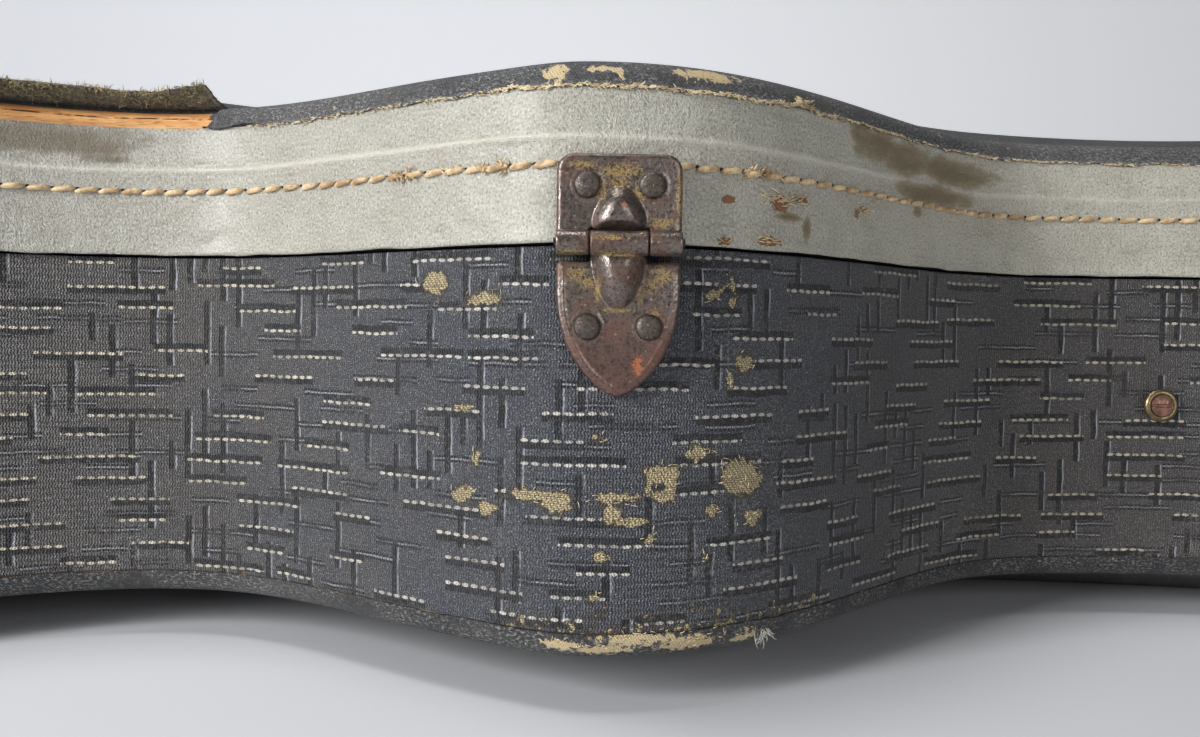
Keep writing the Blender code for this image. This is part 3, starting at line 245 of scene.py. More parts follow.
def newPiece(name, points, faces, look, body, slot, node=None, uv=None, marks=None, angle=None):
    mesh = bpy.data.meshes.new(name)
    mesh.from_pydata(np.asarray(points).tolist(), [], [list(face) for face in faces])
    if uv is not None:
        mesh.uv_layers.new(name="wall").data.foreach_set("uv", np.asarray(uv, dtype=np.float32).ravel())
    for key, values in (marks or {}).items():
        layer = mesh.attributes.new(key, "FLOAT", "POINT")
        layer.data.foreach_set("value", np.asarray(values, dtype=np.float32).ravel())
    mesh.validate(clean_customdata=False)
    mesh.materials.append(look)
    piece = bpy.data.objects.new(name, mesh)
    bpy.context.collection.objects.link(piece)
    mesh.shade_smooth()
    if angle is not None:
        mesh.set_sharp_from_angle(angle=math.radians(angle))
    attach(piece, body)
    if node:
        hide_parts(node)
    return piece


# Turns a closed mesh's faces outwards, judged by its signed volume
def faceOutwards(mesh):
    mesh.calc_loop_triangles()
    corners = np.empty(len(mesh.loop_triangles) * 3, np.int32)
    mesh.loop_triangles.foreach_get("vertices", corners)
    points = np.empty(len(mesh.vertices) * 3)
    mesh.vertices.foreach_get("co", points)
    a, b, c = points.reshape(-1, 3)[corners.reshape(-1, 3)].transpose(1, 0, 2)
    if np.einsum("ij,ij->", a, np.cross(b, c)) < 0:
        mesh.flip_normals()


# Puts a piece's modifiers into its mesh
def settle(piece):
    graph = bpy.context.evaluated_depsgraph_get()
    mesh = bpy.data.meshes.new_from_object(piece.evaluated_get(graph))
    piece.modifiers.clear()
    old, piece.data = piece.data, mesh
    bpy.data.meshes.remove(old)


# Each corner's uv: the way round the case, and the height that its row is given
def wallUv(cols, heights, corners):
    return np.stack([np.append(cols, perimeter)[corners[..., 1]], np.asarray(heights)[corners[..., 0]]], axis=-1)


# Closed skin round the case: rows of points joined to a tube, each row with its uv height
def ringPiece(name, cols, rows, look, body, slot, heights, marks, node, angle=None):
    rows = np.stack(rows)
    quads, corners = gridFaces(*rows.shape[:2], True, True)
    uv = wallUv(cols, heights, corners)
    points = rows.reshape(-1, 3)
    a, b, c, d = (points[quads[:, k]] for k in range(4))
    if np.sum(np.einsum("ij,ij->i", a, np.cross(b, c)) + np.einsum("ij,ij->i", a, np.cross(c, d))) < 0:
        quads, uv = quads[:, ::-1], uv[:, ::-1]
    marks = {key: np.broadcast_to(values, rows.shape[:2]) for key, values in marks.items()}
    return newPiece(name, points, quads, look, body, slot, node, uv, marks, angle)


# Closed skin of (row, uv height) pairs, whose first and last rows run along the crown and are
# bridged there side to side
def spinePiece(name, cols, skin, look, body, slot, marks, node, angle=None):
    rows, heights = np.stack([row for row, _ in skin]), [height for _, height in skin]
    rowCount, colCount = rows.shape[:2]
    quads, corners = gridFaces(rowCount, colCount, False, True)
    half = colCount // 2
    j = np.arange(1, half - 1)
    caps = list(np.stack([j, j + 1, colCount - j - 1, colCount - j], axis=-1))
    caps += [np.array([0, 1, colCount - 1]), np.array([half - 1, half, half + 1])]
    points = rows.reshape(-1, 3)
    first, last = [face[::-1] for face in caps], [face + (rowCount - 1) * colCount for face in caps]
    uv = [wallUv(cols, heights, corners).reshape(-1, 2)]
    uv += [points[face][:, :2] + [0, heights[0]] for face in first]
    uv += [points[face][:, :2] + [0, heights[-1]] for face in last]
    marks = {key: np.broadcast_to(values, rows.shape[:2]) for key, values in marks.items()}
    piece = newPiece(name, points, list(quads) + first + last, look, body, slot, node, np.concatenate(uv), marks, angle)
    faceOutwards(piece.data)
    return piece


# The tree that the next nodes go into; newLook and newGroup set it
bench = dict(tree=None)


# A value on its way through a finish: arithmetic on it puts in the matching maths node
class Signal:
    def __init__(self, socket):
        self.socket = socket

    def __add__(self, other):
        return maths("ADD", self, other)

    def __sub__(self, other):
        return maths("SUBTRACT", self, other)

    def __rsub__(self, other):
        return maths("SUBTRACT", other, self)

    def __mul__(self, other):
        return maths("MULTIPLY", self, other)

    def __truediv__(self, other):
        return maths("DIVIDE", self, other)

    def __pow__(self, other):
        return maths("POWER", self, other)

    def __abs__(self):
        return maths("ABSOLUTE", self)


def feed(node, inputs):
    for key, value in inputs.items():
        if isinstance(value, Signal):
            bench["tree"].links.new(value.socket, node.inputs[key])
        else:
            node.inputs[key].default_value = value


def put(kind, inputs, output=0, **settings):
    node = bench["tree"].nodes.new("ShaderNode" + kind)
    for key, value in settings.items():
        setattr(node, key, value)
    feed(node, inputs)
    return Signal(node.outputs[output])


def maths(operation, *values, clamp=False):
    return put("Math", dict(enumerate(values)), operation=operation, use_clamp=clamp)


def spread(value, low, high, start=0.0, end=1.0):
    return put("MapRange", {0: value, 1: low, 2: high, 3: start, 4: end}, interpolation_type="SMOOTHSTEP")


def mixed(share, first, second):
    return put("Mix", {0: share, 6: first, 7: second}, 2, data_type="RGBA")


# Lays colours over one another, each where its share says
def layered(base, *coats):
    for share, tint in coats:
        base = mixed(share, base, tint)
    return base


def cloud(place, size, detail=3.0, roughness=0.55):
    return put("TexNoise", {"Vector": place, "Scale": 1 / size, "Detail": detail, "Roughness": roughness})


def cells(place, size, **settings):
    return put("TexVoronoi", {"Vector": place, "Scale": 1 / size}, **settings)


def scaled(place, x, y, z=1.0):
    return put("Mapping", {"Vector": place, "Scale": (x, y, z)})


def moved(operation, place, by):
    return put("VectorMath", {0: place, 3 if operation == "SCALE" else 1: by}, operation=operation)


def axis(place, number):
    return put("SeparateXYZ", {0: place}, number)


def chance(x, y, seed):
    place = put("CombineXYZ", {0: x, 1: y, 2: seed})
    return put("TexWhiteNoise", {"Vector": place}, noise_dimensions="3D")


def mark(name):
    return put("Attribute", {}, "Fac", attribute_name=name)


def wallPlace():
    return put("UVMap", {}, uv_map="wall")


def ownPlace():
    return put("TexCoord", {}, "Object")


def colour(red, green, blue):
    # written as the eye reads it, 0..255, and stored as light
    values = np.array([red, green, blue]) / 255
    light = np.where(values <= 0.04045, values / 12.92, ((values + 0.055) / 1.055) ** 2.4)
    return (*light.tolist(), 1.0)


def newGroup(name, **takes):
    tree = bench["tree"] = bpy.data.node_groups.new(name, "ShaderNodeTree")
    for label, value in takes.items():
        kind = "NodeSocketFloat" if isinstance(value, float) else "NodeSocketVector"
        tree.interface.new_socket(label, in_out="INPUT", socket_type=kind).default_value = value
    source = tree.nodes.new("NodeGroupInput").outputs
    return [Signal(source[label]) for label in takes]


def groupGives(**signals):
    tree = bench["tree"]
    for label in signals:
        tree.interface.new_socket(label, in_out="OUTPUT", socket_type="NodeSocketFloat")
    feed(tree.nodes.new("NodeGroupOutput"), signals)
    return tree


def useGroup(group, **inputs):
    node = bench["tree"].nodes.new("ShaderNodeGroup")
    node.node_tree = group
    feed(node, inputs)
    return {output.name: Signal(output) for output in node.outputs}


def newLook(name, **numbers):
    look = bpy.data.materials.new(name)
    look.use_nodes = True
    bench["tree"] = look.node_tree
    feed(look.node_tree.nodes["Principled BSDF"], {key.replace("_", " "): value for key, value in numbers.items()})
    return look


# Wires what varies into the shader, and the height through a bump
def finished(look, base, rough=None, metal=None, height=None, depth=0.0005):
    sockets = {"Base Color": base, "Roughness": rough, "Metallic": metal}
    if height is not None:
        sockets["Normal"] = put("Bump", {"Height": height, "Distance": depth, "Strength": 1.0})
    feed(look.node_tree.nodes["Principled BSDF"], {key: value for key, value in sockets.items() if value is not None})
    return look


# Twill: threads run across each other, a raised diagonal of small bars
def twillGroup():
    place, across, up = newGroup("cotton twill", Place=(0, 0, 0), Across=1000.0, Up=1000.0)
    v = axis(place, 1) * up
    row = maths("FLOOR", v)
    slant = axis(place, 0) * across + row * 0.333
    bar = spread(abs(maths("FRACT", slant) - 0.5), 0.46, 0.18)
    thread = spread(abs(maths("FRACT", v) - 0.5), 0.5, 0.12)
    return groupGives(Height=bar * thread, Thread=chance(maths("FLOOR", slant), row, 3.0))


# Worn places: an attribute painted on the mesh, broken up by a noise into frayed patches
def wornGroup():
    place, paint, grain, ragged = newGroup("worn through", Place=(0, 0, 0), Paint=0.0, Grain=700.0, Ragged=0.6)
    noise = put("TexNoise", {"Vector": place, "Scale": grain, "Detail": 4.0, "Roughness": 0.6})
    level = paint + (noise - 0.5) * ragged * 2.0
    edge = spread(level, 0.20, 0.45) * spread(level, 0.75, 0.5)
    return groupGives(Mask=spread(level, 0.45, 0.60), Edge=edge)


# Ribbed cloth: zigzag ribs, with loose runs of dashes and sunk lines woven through them
def ribbedGroup():
    place, = newGroup("ribbed weave", Place=(0, 0, 0))
    u, v = axis(place, 0), axis(place, 1)
    ribPitch, zigPitch, twistPitch, rowPitch, dashPitch, dotPitch = 0.0008, 0.0018, 0.00055, 0.0064, 0.0029, 0.0013
    zig = maths("PINGPONG", v / zigPitch, 0.5)
    rib = maths("COSINE", (u / ribPitch + zig * 0.9) * (2 * math.pi)) * 0.5 + 0.5
    rib = rib * (maths("COSINE", v * (2 * math.pi / twistPitch)) * 0.2 + 0.8)

    # a run of marks in a lane: distance off its middle, where the marks are, and a side at random
    def run(across, along, lanePitch, cell, shown, shortest, longest, seed):
        lane = maths("FLOOR", across / lanePitch)
        place = along / cell + chance(lane, 1.0, seed) * 7.0
        step, part = maths("FLOOR", place), maths("FRACT", place)
        dice = [chance(lane, step, seed + number) for number in range(1, 6)]
        start = dice[1] * 0.25
        end = start + (dice[2] * (longest - shortest) + shortest)
        inside = maths("GREATER_THAN", part, start) * maths("LESS_THAN", part, end)
        jitter = dice[3] * 0.24 - 0.12
        off = (maths("FRACT", across / lanePitch) - 0.5 - jitter) * lanePitch
        return off, maths("LESS_THAN", dice[0], shown) * inside, maths("SIGN", dice[4] - 0.5)

    def stroke(off, centre, half):
        return spread(abs(off - centre), half * 1.15, half * 0.75)

    off, inside, side = run(v, u, rowPitch, 0.038, 0.88, 0.34, 0.76, 11.0)
    # each dash is a plump thread: an ellipse round its own middle
    beat = ((maths("FRACT", u / dashPitch) - 0.5) / 0.43) ** 2.0
    dash = spread(beat + (off / 0.00054) ** 2.0, 1.0, 0.55) * inside
    bar = stroke(off, side * 0.00125, 0.00082) * inside
    second, insideSecond, _ = run(v, u, 0.0049, 0.030, 0.62, 0.30, 0.80, 31.0)
    dots = spread(abs(maths("FRACT", u / dotPitch) - 0.5), 0.45, 0.30)
    pair = maths("MAXIMUM", stroke(second, 0.0006, 0.00036), stroke(second, -0.0006, 0.00036)) * dots * insideSecond
    glints = stroke(second, 0.0, 0.00030) * dots * insideSecond
    upright, insideUpright, _ = run(u, v, 0.0056, 0.028, 0.52, 0.27, 0.80, 51.0)
    legs = stroke(upright, 0.0, 0.0009) * insideUpright
    line = maths("MAXIMUM", maths("MAXIMUM", bar, legs), pair) * (1.0 - dash)
    # painted highlight: pale glints along the rims of the upright marks and down the middle of the dotted rows
    rim = maths("MAXIMUM", stroke(upright, 0.00125, 0.00028) * insideUpright, glints)
    return groupGives(Height=rib - line * 1.3 + dash, Line=line, Dash=dash, Rib=rib, Rim=rim)


# Rusted, rubbed metal: brown blotches, pits, and bright rubbed specks, which are partly painted glints
def agedMetalGroup():
    place, size = newGroup("aged metal", Place=(0, 0, 0), Size=1.0)
    place = moved("SCALE", place, size)
    broad, fine, pits = cloud(place, 0.0075, 5.0, 0.62), cloud(place, 0.0011, 4.0, 0.6), cells(place, 0.0009)
    return groupGives(Rust=spread(broad, 0.42, 0.62), Pits=spread(pits, 0.32, 0.12), Rub=spread(fine, 0.60, 0.74),
                      Height=pits * 0.4 + fine * 0.9)


# Wood seen on its long grain, streaks pulled out along the first axis of the place
def grainGroup():
    place, = newGroup("wood grain", Place=(0, 0, 0))
    streak = cloud(scaled(place, 0.06, 1.0), 0.0012, 5.0, 0.65)
    pore = cloud(scaled(place, 0.10, 1.0), 0.00035, 2.0, 0.5)
    return groupGives(Streak=spread(streak, 0.32, 0.68), Pore=spread(pore, 0.56, 0.70))


# Pale dust and lint lying in broad drifts and single specks
def dustGroup():
    place, amount = newGroup("dust and lint", Place=(0, 0, 0), Amount=0.5)
    broad = spread(cloud(place, 0.035, 5.0, 0.65), 0.45, 0.70)
    fine = spread(cloud(place, 0.0009, 3.0, 0.6), 0.48, 0.66)
    specks = spread(cells(place, 0.0021), 0.16, 0.08)
    return groupGives(Mask=(broad * 0.7 + 0.3) * fine * amount, Speck=specks * amount)


twill, worn, ribbed = twillGroup(), wornGroup(), ribbedGroup()
agedMetal, woodGrain, dust = agedMetalGroup(), grainGroup(), dustGroup()

clothColours = dict(
    blackWorn=colour(92, 90, 87), frayed=colour(216, 194, 148), lint=colour(150, 147, 140),
    blue=colour(65, 70, 79), brown=colour(87, 78, 66), sunk=colour(30, 31, 35), burlap=colour(200, 187, 150),
    bandLeft=colour(172, 170, 160), bandRight=colour(190, 187, 172), bandStain=colour(92, 70, 38),
    bandHole=colour(140, 92, 52),
)


# Black twill round the lid and the back, greyed and frayed where the marks say; its tone is lighter on the lid as
# painted light and darker on the back as painted shade
def plainClothLook(name, dustAmount, toneAsLit):
    look, c = newLook(name, Roughness=0.8, Sheen_Weight=0.08, Sheen_Roughness=0.5), clothColours
    wall, own = wallPlace(), ownPlace()
    weave = useGroup(twill, Place=wall, Across=1 / 0.00085, Up=1 / 0.00042)
    dusty = useGroup(dust, Place=own, Amount=dustAmount)
    bare = useGroup(worn, Place=own, Paint=mark("wear"), Grain=620.0, Ragged=1.3)
    crumbs = cloud(scaled(wall, 0.6, 1.0), 0.0007, 4.0, 0.75)
    rubbed = spread(crumbs, 0.50, 0.66) * spread(cloud(own, 0.014, 4.0), 0.32, 0.58)
    rubbed = rubbed * spread(mark("edge"), 0.0, 1.0, 0.22, 1.0)
    base = layered(
        # each bar a little lighter or darker, and the hollows between the bars dark as painted shade
        mixed(weave["Thread"] * 0.35 + weave["Height"] * 0.5, colour(30, 30, 33), toneAsLit),
        (spread(cloud(own, 0.05, 6.0, 0.65), 0.42, 0.80, 0.0, 0.7), c["blackWorn"]),
        (dusty["Mask"], c["lint"]), (bare["Edge"], c["blackWorn"]), (bare["Mask"], c["frayed"]),
        (dusty["Speck"], c["lint"]), (rubbed * 0.85, colour(170, 171, 168)),
        (spread(crumbs, 0.46, 0.32, 0.0, 0.7), colour(22, 22, 24)),
    )
    fibre = cloud(scaled(wall, 0.25, 1.0), 0.0003, 3.0, 0.7)
    height = weave["Height"] + fibre * 0.8 - bare["Mask"] * 0.8 + crumbs * 2.0
    return finished(look, base, weave["Height"] * -0.15 + 0.85, height=height, depth=0.00022)


# Patterned cloth of the side wall
def wovenClothLook():
    look, c = newLook("ribbed side cloth", Roughness=0.6, Sheen_Weight=0.10, Sheen_Roughness=0.45), clothColours
    wall, own = wallPlace(), ownPlace()
    # threads wander a little, so the marks are never quite straight
    drift = put("TexNoise", {"Vector": wall, "Scale": 1 / 0.006, "Detail": 3.0}, 1)
    drifted = moved("ADD", wall, moved("SCALE", moved("SUBTRACT", drift, (0.5, 0.5, 0.5)), 0.0011))
    weave = useGroup(ribbed, Place=drifted)
    dusty = useGroup(dust, Place=own, Amount=0.42)
    bare = useGroup(worn, Place=own, Paint=mark("wear"), Grain=420.0, Ragged=0.95)
    burlap = useGroup(twill, Place=drifted, Across=1 / 0.0013, Up=1 / 0.00055)
    warm = maths("ADD", mark("brown"), cloud(own, 0.022, 5.0, 0.6) * 1.2 - 0.68, clamp=True)
    fleck = cloud(wall, 0.00045, 2.0, 0.6)
    patchy = spread(cloud(own, 0.009, 3.0, 0.6), 0.34, 0.62)
    # the dark lines are darker still in the ribs' hollows, painted shade between the ribs
    lineShade = mixed(weave["Rib"] * 0.45, colour(12, 13, 16), colour(40, 43, 51))
    thread = mixed(warm, colour(214, 208, 198), colour(206, 192, 160))
    base = layered(
        # the ground takes the dark colour in the ribs' hollows, painted shade between the ribs
        mixed(weave["Rib"] * 0.62 + 0.38, c["sunk"], mixed(warm, c["blue"], c["brown"])),
        # pale flecks: specks of the weave, painted brighter as glints on the threads
        (spread(fleck, 0.54, 0.74, 0.0, 0.80), colour(176, 178, 186)),
        (spread(fleck, 0.46, 0.28, 0.0, 0.75), c["sunk"]),
        # painted highlight: the pale glints along the marks
        (weave["Rim"] * patchy * 0.80, colour(164, 166, 176)),
        (weave["Line"] * (patchy * 0.30 + 0.68), lineShade),
        (weave["Dash"] * (patchy * 0.50 + 0.45), thread),
        # painted shade from the shade mark: near black below the hinge knuckles, darker where the wall turns from the
        # light
        (spread(mark("shade"), 0.0, 1.0, 0.0, 0.94), colour(20, 19, 18)),
        (dusty["Mask"], c["lint"]), (bare["Edge"], colour(60, 54, 50)),
        (bare["Mask"], mixed(burlap["Height"], colour(128, 112, 80), c["burlap"])),
    )
    height = weave["Height"] - bare["Mask"] * 1.2 + fleck
    return finished(look, base, weave["Line"] * 0.25 + 0.55, height=height, depth=0.00035)


# Coated cloth of the band: satin, creased along its ridge, stained where liquid ran down
def bandClothLook():
    look = newLook("coated band cloth", Roughness=0.42, Specular_IOR_Level=0.5, Coat_Weight=0.22, Coat_Roughness=0.28)
    wall, own, across, c = wallPlace(), ownPlace(), mark("along"), clothColours
    weave = useGroup(twill, Place=wall, Across=1 / 0.0007, Up=1 / 0.0005)
    chip = useGroup(worn, Place=own, Paint=mark("chip"), Grain=800.0, Ragged=0.8)
    mottle = spread(cloud(own, 0.012, 6.0, 0.62), 0.35, 0.70)
    fleck = cloud(scaled(wall, 1.0, 0.8), 0.00065, 3.0, 0.7)
    grime = spread(cloud(scaled(wall, 0.35, 1.0), 0.0035, 5.0, 0.65), 0.52, 0.76)
    # liquid soaked in from the top: a soft brown wash with darker cores
    soak = mark("stain") + (cloud(scaled(wall, 0.45, 1.0), 0.005, 5.0, 0.65) * 1.7 - 0.85)
    wash, core = spread(soak, 0.18, 0.66), spread(soak, 0.62, 1.05)
    washed = mixed(spread(across, 0.2, 0.6), colour(118, 112, 98), colour(126, 110, 72))
    scratch = spread(cloud(scaled(wall, 0.05, 1.0), 0.0006, 3.0, 0.6), 0.62, 0.76)
    base = layered(
        mixed(across, c["bandLeft"], c["bandRight"]),
        (mottle * 0.28, colour(134, 128, 112)),
        (spread(fleck, 0.50, 0.72, 0.0, 0.70), colour(226, 225, 218)),
        (spread(fleck, 0.50, 0.30, 0.0, 0.75), colour(104, 101, 90)),
        # grime; and the pale line on the ridge, a painted highlight along its crest
        (grime * 0.35, colour(118, 108, 88)), (mark("crest") * 0.70, colour(214, 210, 197)),
        (wash * 0.74, washed), (core * 0.50, c["bandStain"]), (chip["Mask"], c["bandHole"]),
        # scratches; and the weave's raised bars a touch lighter, a faint painted highlight
        (scratch * 0.35, colour(178, 174, 160)), (weave["Height"] * 0.05, colour(190, 186, 172)),
    )
    crumple = cloud(scaled(wall, 1.6, 1.0), 0.0045, 4.0, 0.6)
    height = weave["Height"] * 0.22 + cloud(own, 0.0016, 5.0, 0.6) - chip["Mask"] * 1.5 + crumple * 3.0 + fleck * 2.6
    return finished(look, base, wash * 0.12 + 0.30 + mottle * 0.12, height=height, depth=0.00026)


def plywoodLook():
    look, wall = newLook("orange plywood", Roughness=0.62), wallPlace()
    grain = useGroup(woodGrain, Place=wall)
    up = axis(ownPlace(), 2)
    # a dark glue line between two plies, broken here and there
    above = up - (cloud(scaled(wall, 0.1, 1.0), 0.004) * 0.0016 + (case["lidEdgeZ"] - 0.0046))
    glue = spread(abs(above), 0.0004, 0.00015) * spread(cloud(wall, 0.006), 0.40, 0.55)
    # painted shade in the gap at the seam, where the halves meet
    seam = spread(abs(up - case["seamZ"]), 0.004, 0.002)
    base = layered(
        mixed(grain["Streak"], colour(206, 140, 78), colour(240, 188, 124)),
        (grain["Pore"] * 0.5, colour(132, 80, 40)),
        (spread(cloud(wall, 0.02), 0.45, 0.75, 0.0, 0.5), colour(196, 132, 74)),
        # darker towards the top of the wood: browner wood, and painted shade under the cover's edge above it
        (spread(above, 0.0, 0.0016, 0.0, 0.55), colour(158, 100, 58)), (glue, colour(84, 50, 28)),
        (seam, colour(34, 26, 22)),
    )
    return finished(look, base, height=grain["Streak"] - grain["Pore"] * 0.6, depth=0.0002)


# Plywood of the inside fittings, which have no wall map
def fittingWoodLook():
    look = newLook("fitting plywood", Roughness=0.6)
    grain = useGroup(woodGrain, Place=ownPlace())
    base = layered(mixed(grain["Streak"], colour(150, 98, 52), colour(200, 150, 96)),
                   (grain["Pore"] * 0.5, colour(90, 54, 28)))
    return finished(look, base, height=grain["Streak"], depth=0.0002)


# Plush: short pile that catches the light at its edges, brushed one way and the other
def plushLook():
    look = newLook("claret plush", Roughness=0.95, Sheen_Weight=0.9, Sheen_Roughness=0.35,
                   Sheen_Tint=colour(220, 120, 130))
    own = ownPlace()
    nap = spread(cloud(scaled(own, 0.5, 1.0), 0.045, 5.0, 0.6), 0.35, 0.68)
    pile = cloud(own, 0.0007, 3.0, 0.7)
    base = layered(mixed(nap, colour(100, 24, 33), colour(120, 32, 41)),
                   (spread(pile, 0.35, 0.70, 0.6, 0.0), colour(44, 8, 14)))
    return finished(look, base, height=pile, depth=0.0006)


# Rusted steel; the hinges also keep yellow wax in their hollows, redder steel towards the foot
# and one orange bloom of fresh rust
def steelLook(name, dark, rustColour, residue, size, rough=0.34):
    look, own = newLook(name, Roughness=0.4, Metallic=0.8), ownPlace()
    aged = useGroup(agedMetal, Place=own, Size=size)
    mottle = cloud(own, 0.0010, 5.0, 0.68)
    base = layered(
        mixed(aged["Rust"], dark, rustColour), (spread(mottle, 0.52, 0.34, 0.0, 0.66), colour(42, 32, 28)),
        # dark pits; bright rubbed specks, painted brighter to stand in for glints on the steel
        (aged["Pits"] * 0.6, colour(34, 24, 22)), (aged["Rub"] * 0.60, colour(206, 194, 178)),
    )
    metal = aged["Rust"] * -0.35 + 0.80
    if residue:
        crumbs = cloud(own, 0.0005, 4.0, 0.74)
        wax = spread(mark("wax") * 0.13 + crumbs, 0.56, 0.66) * spread(mark("wax"), 0.0, 0.35)
        bloom = spread(mark("bloom") + ((mottle + crumbs) * 2.4 - 2.4), 0.35, 1.0) * spread(mark("bloom"), 0.0, 0.3)
        base = layered(base, (spread(axis(own, 2), 0.103, 0.086) * 0.45, colour(108, 70, 60)),
                       (wax * 0.74, colour(158, 132, 70)), (bloom * 0.72, colour(172, 98, 52)))
        metal = maths("ADD", maths("MAXIMUM", wax, bloom) * -0.7, metal, clamp=True)
    rough = aged["Rust"] * 0.20 + rough - aged["Rub"] * 0.10
    return finished(look, base, rough, metal, height=aged["Height"], depth=0.00012)


def brassLook(name, bright, dull):
    look = newLook(name, Roughness=0.35, Metallic=0.9)
    aged = useGroup(agedMetal, Place=ownPlace(), Size=1.6)
    base = layered(mixed(aged["Rust"], bright, dull), (aged["Pits"] * 0.6, colour(40, 30, 22)))
    return finished(look, base, aged["Rust"] * 0.25 + 0.28, height=aged["Height"], depth=0.00010)


# Leather: pebbled cells with creases between them, darker where hands have held it
def leatherLook():
    look, own = newLook("dark handle leather", Roughness=0.5), ownPlace()
    pebble = spread(cells(own, 0.0011, feature="DISTANCE_TO_EDGE"), 0.0, 0.16)
    hand = spread(cloud(own, 0.02), 0.40, 0.65)
    base = layered(mixed(hand, colour(58, 38, 28), colour(36, 24, 20)), (1.0 - pebble, colour(20, 13, 10)))
    return finished(look, base, hand * -0.14 + 0.56, height=pebble, depth=0.00025)


# Thread and loose fibres, each a little lighter or darker than its neighbour
def threadLook(name, light, dark, rough):
    look, own = newLook(name, Roughness=rough, Sheen_Weight=0.3), ownPlace()
    grime = spread(cloud(own, 0.0005, 2.0), 0.50, 0.72)
    base = mixed(spread(cloud(own, 0.004, 4.0, 0.6), 0.38, 0.64), light, dark)
    return finished(look, mixed(grime * 0.4, base, dark), height=grime, depth=0.0001)


# Underside of the loose flap: matted olive fibres over dark glue
def fuzzLook():
    look, own = newLook("matted olive underside", Roughness=0.95, Sheen_Weight=0.2), ownPlace()
    clump = cloud(own, 0.0016, 5.0, 0.7)
    fibre = cloud(scaled(own, 1.0, 1.0, 0.35), 0.0005, 3.0, 0.7)
    base = layered(mixed(spread(clump, 0.36, 0.62), colour(42, 37, 25), colour(116, 106, 74)),
                   (spread(fibre, 0.52, 0.72, 0.0, 0.8), colour(166, 154, 116)),
                   (spread(fibre, 0.46, 0.30, 0.0, 0.7), colour(28, 24, 18)))
    return finished(look, base, height=clump + fibre, depth=0.0009)


looks = dict(
    # the same black twill, given a lighter tone on the lid as painted light and a darker tone on the back as painted
    # shade
    lidCloth=plainClothLook("black twill of the lid", 0.35, colour(87, 89, 93)),
    backCloth=plainClothLook("black twill of the back", 0.22, colour(46, 48, 52)),
    sideCloth=wovenClothLook(), bandCloth=bandClothLook(), plywood=plywoodLook(), fittingWood=fittingWoodLook(),
    plush=plushLook(), leather=leatherLook(), fuzz=fuzzLook(),
    hingeSteel=steelLook("rusted hinge steel", colour(122, 112, 106), colour(104, 82, 72), True, 1.0, 0.29),
    latchSteel=steelLook("rusted latch steel", colour(96, 86, 82), colour(94, 68, 58), False, 1.0),
    rivetSteel=steelLook("grey rivet steel", colour(94, 88, 82), colour(80, 68, 60), False, 1.7, 0.48),
    brass=brassLook("aged brass", colour(148, 132, 98), colour(106, 92, 68)),
    copper=brassLook("copper screw head", colour(168, 126, 110), colour(122, 92, 82)),
    stitch=threadLook("cream stitching thread", colour(222, 194, 150), colour(164, 132, 90), 0.7),
    hole=threadLook("stitch hole shadow", colour(30, 26, 24), colour(18, 15, 14), 0.9),
    lintHair=threadLook("white lint hairs", colour(226, 224, 214), colour(170, 166, 152), 0.9),
    rawFibre=threadLook("pale raw edge fibres", colour(232, 214, 172), colour(176, 152, 110), 0.85),
    fuzzHair=threadLook("olive hairs", colour(172, 158, 112), colour(96, 84, 52), 0.9),
)
print("stage: finishes mixed,", len(looks))


# Spots are written in whole tenths of a millimetre
def tenths(*spots):
    return [tuple(value / 10000 for value in spot) for spot in spots]


# Where the photograph's wear sits on the wall: (way round, height, half length, half height)
wallMarks = dict(
    sideWear=tenths(
        (6410, 519, 32, 21), (6489, 490, 24, 18), (6598, 536, 51, 17), (6677, 522, 46, 25), (6830, 533, 54, 15),
        (6818, 490, 20, 17), (6864, 476, 50, 12), (6950, 600, 47, 15), (6969, 567, 18, 32), (6925, 578, 15, 25),
        (6951, 531, 31, 12), (7043, 640, 34, 20), (7172, 573, 71, 46), (7083, 491, 23, 13), (7206, 468, 40, 16),
        (6919, 439, 13, 15), (6789, 677, 19, 10), (6411, 738, 38, 10), (6454, 620, 12, 20), (6793, 392, 24, 7),
        (6781, 290, 10, 10), (7065, 378, 14, 8), (7078, 1032, 20, 15), (7128, 1066, 21, 12), (7138, 1023, 19, 13),
        (7176, 868, 32, 20), (7130, 823, 15, 20), (6314, 1060, 40, 31), (6468, 1020, 61, 15)
    ),
    bottomWear=tenths(
        (6797, 160, 74, 12), (6896, 185, 101, 15), (7027, 167, 78, 18), (7193, 161, 47, 13), (6699, 171, 51, 12)
    ),
    bandStain=tenths(
        (4960, 1487, 300, 55), (4991, 1483, 156, 26), (5124, 1466, 123, 29), (5118, 1439, 25, 18),
        (5043, 1458, 58, 12), (5173, 1430, 62, 9), (7718, 1479, 110, 45), (7615, 1497, 51, 55), (7857, 1467, 176, 47),
        (8128, 1459, 224, 37), (8043, 1378, 231, 28), (7943, 1316, 24, 15), (7308, 1243, 45, 10), (7375, 1209, 16, 37)
    ),
    bandChips=tenths(
        (7272, 1275, 29, 23), (7345, 1290, 35, 8), (7106, 1271, 23, 10), (7097, 1167, 23, 10), (7235, 1176, 48, 10),
        (7637, 1295, 42, 6), (7599, 1277, 8, 19)
    ),
    stripWear=tenths(
        (6784, 1569, 53, 9), (7052, 1572, 92, 15), (6826, 1552, 10, 5), (6875, 1564, 15, 5), (6668, 1562, 33, 26),
        (7354, 1545, 24, 15)
    ),
)

# The cover's loose end: stripped off the wall between these ways, curled up as a flap
flapPlace = dict(start=0.4400, end=0.5475, rootDepth=0.0090, reach=0.0022, rootZ=0.1603, tipZ=0.1633, thick=0.0010)


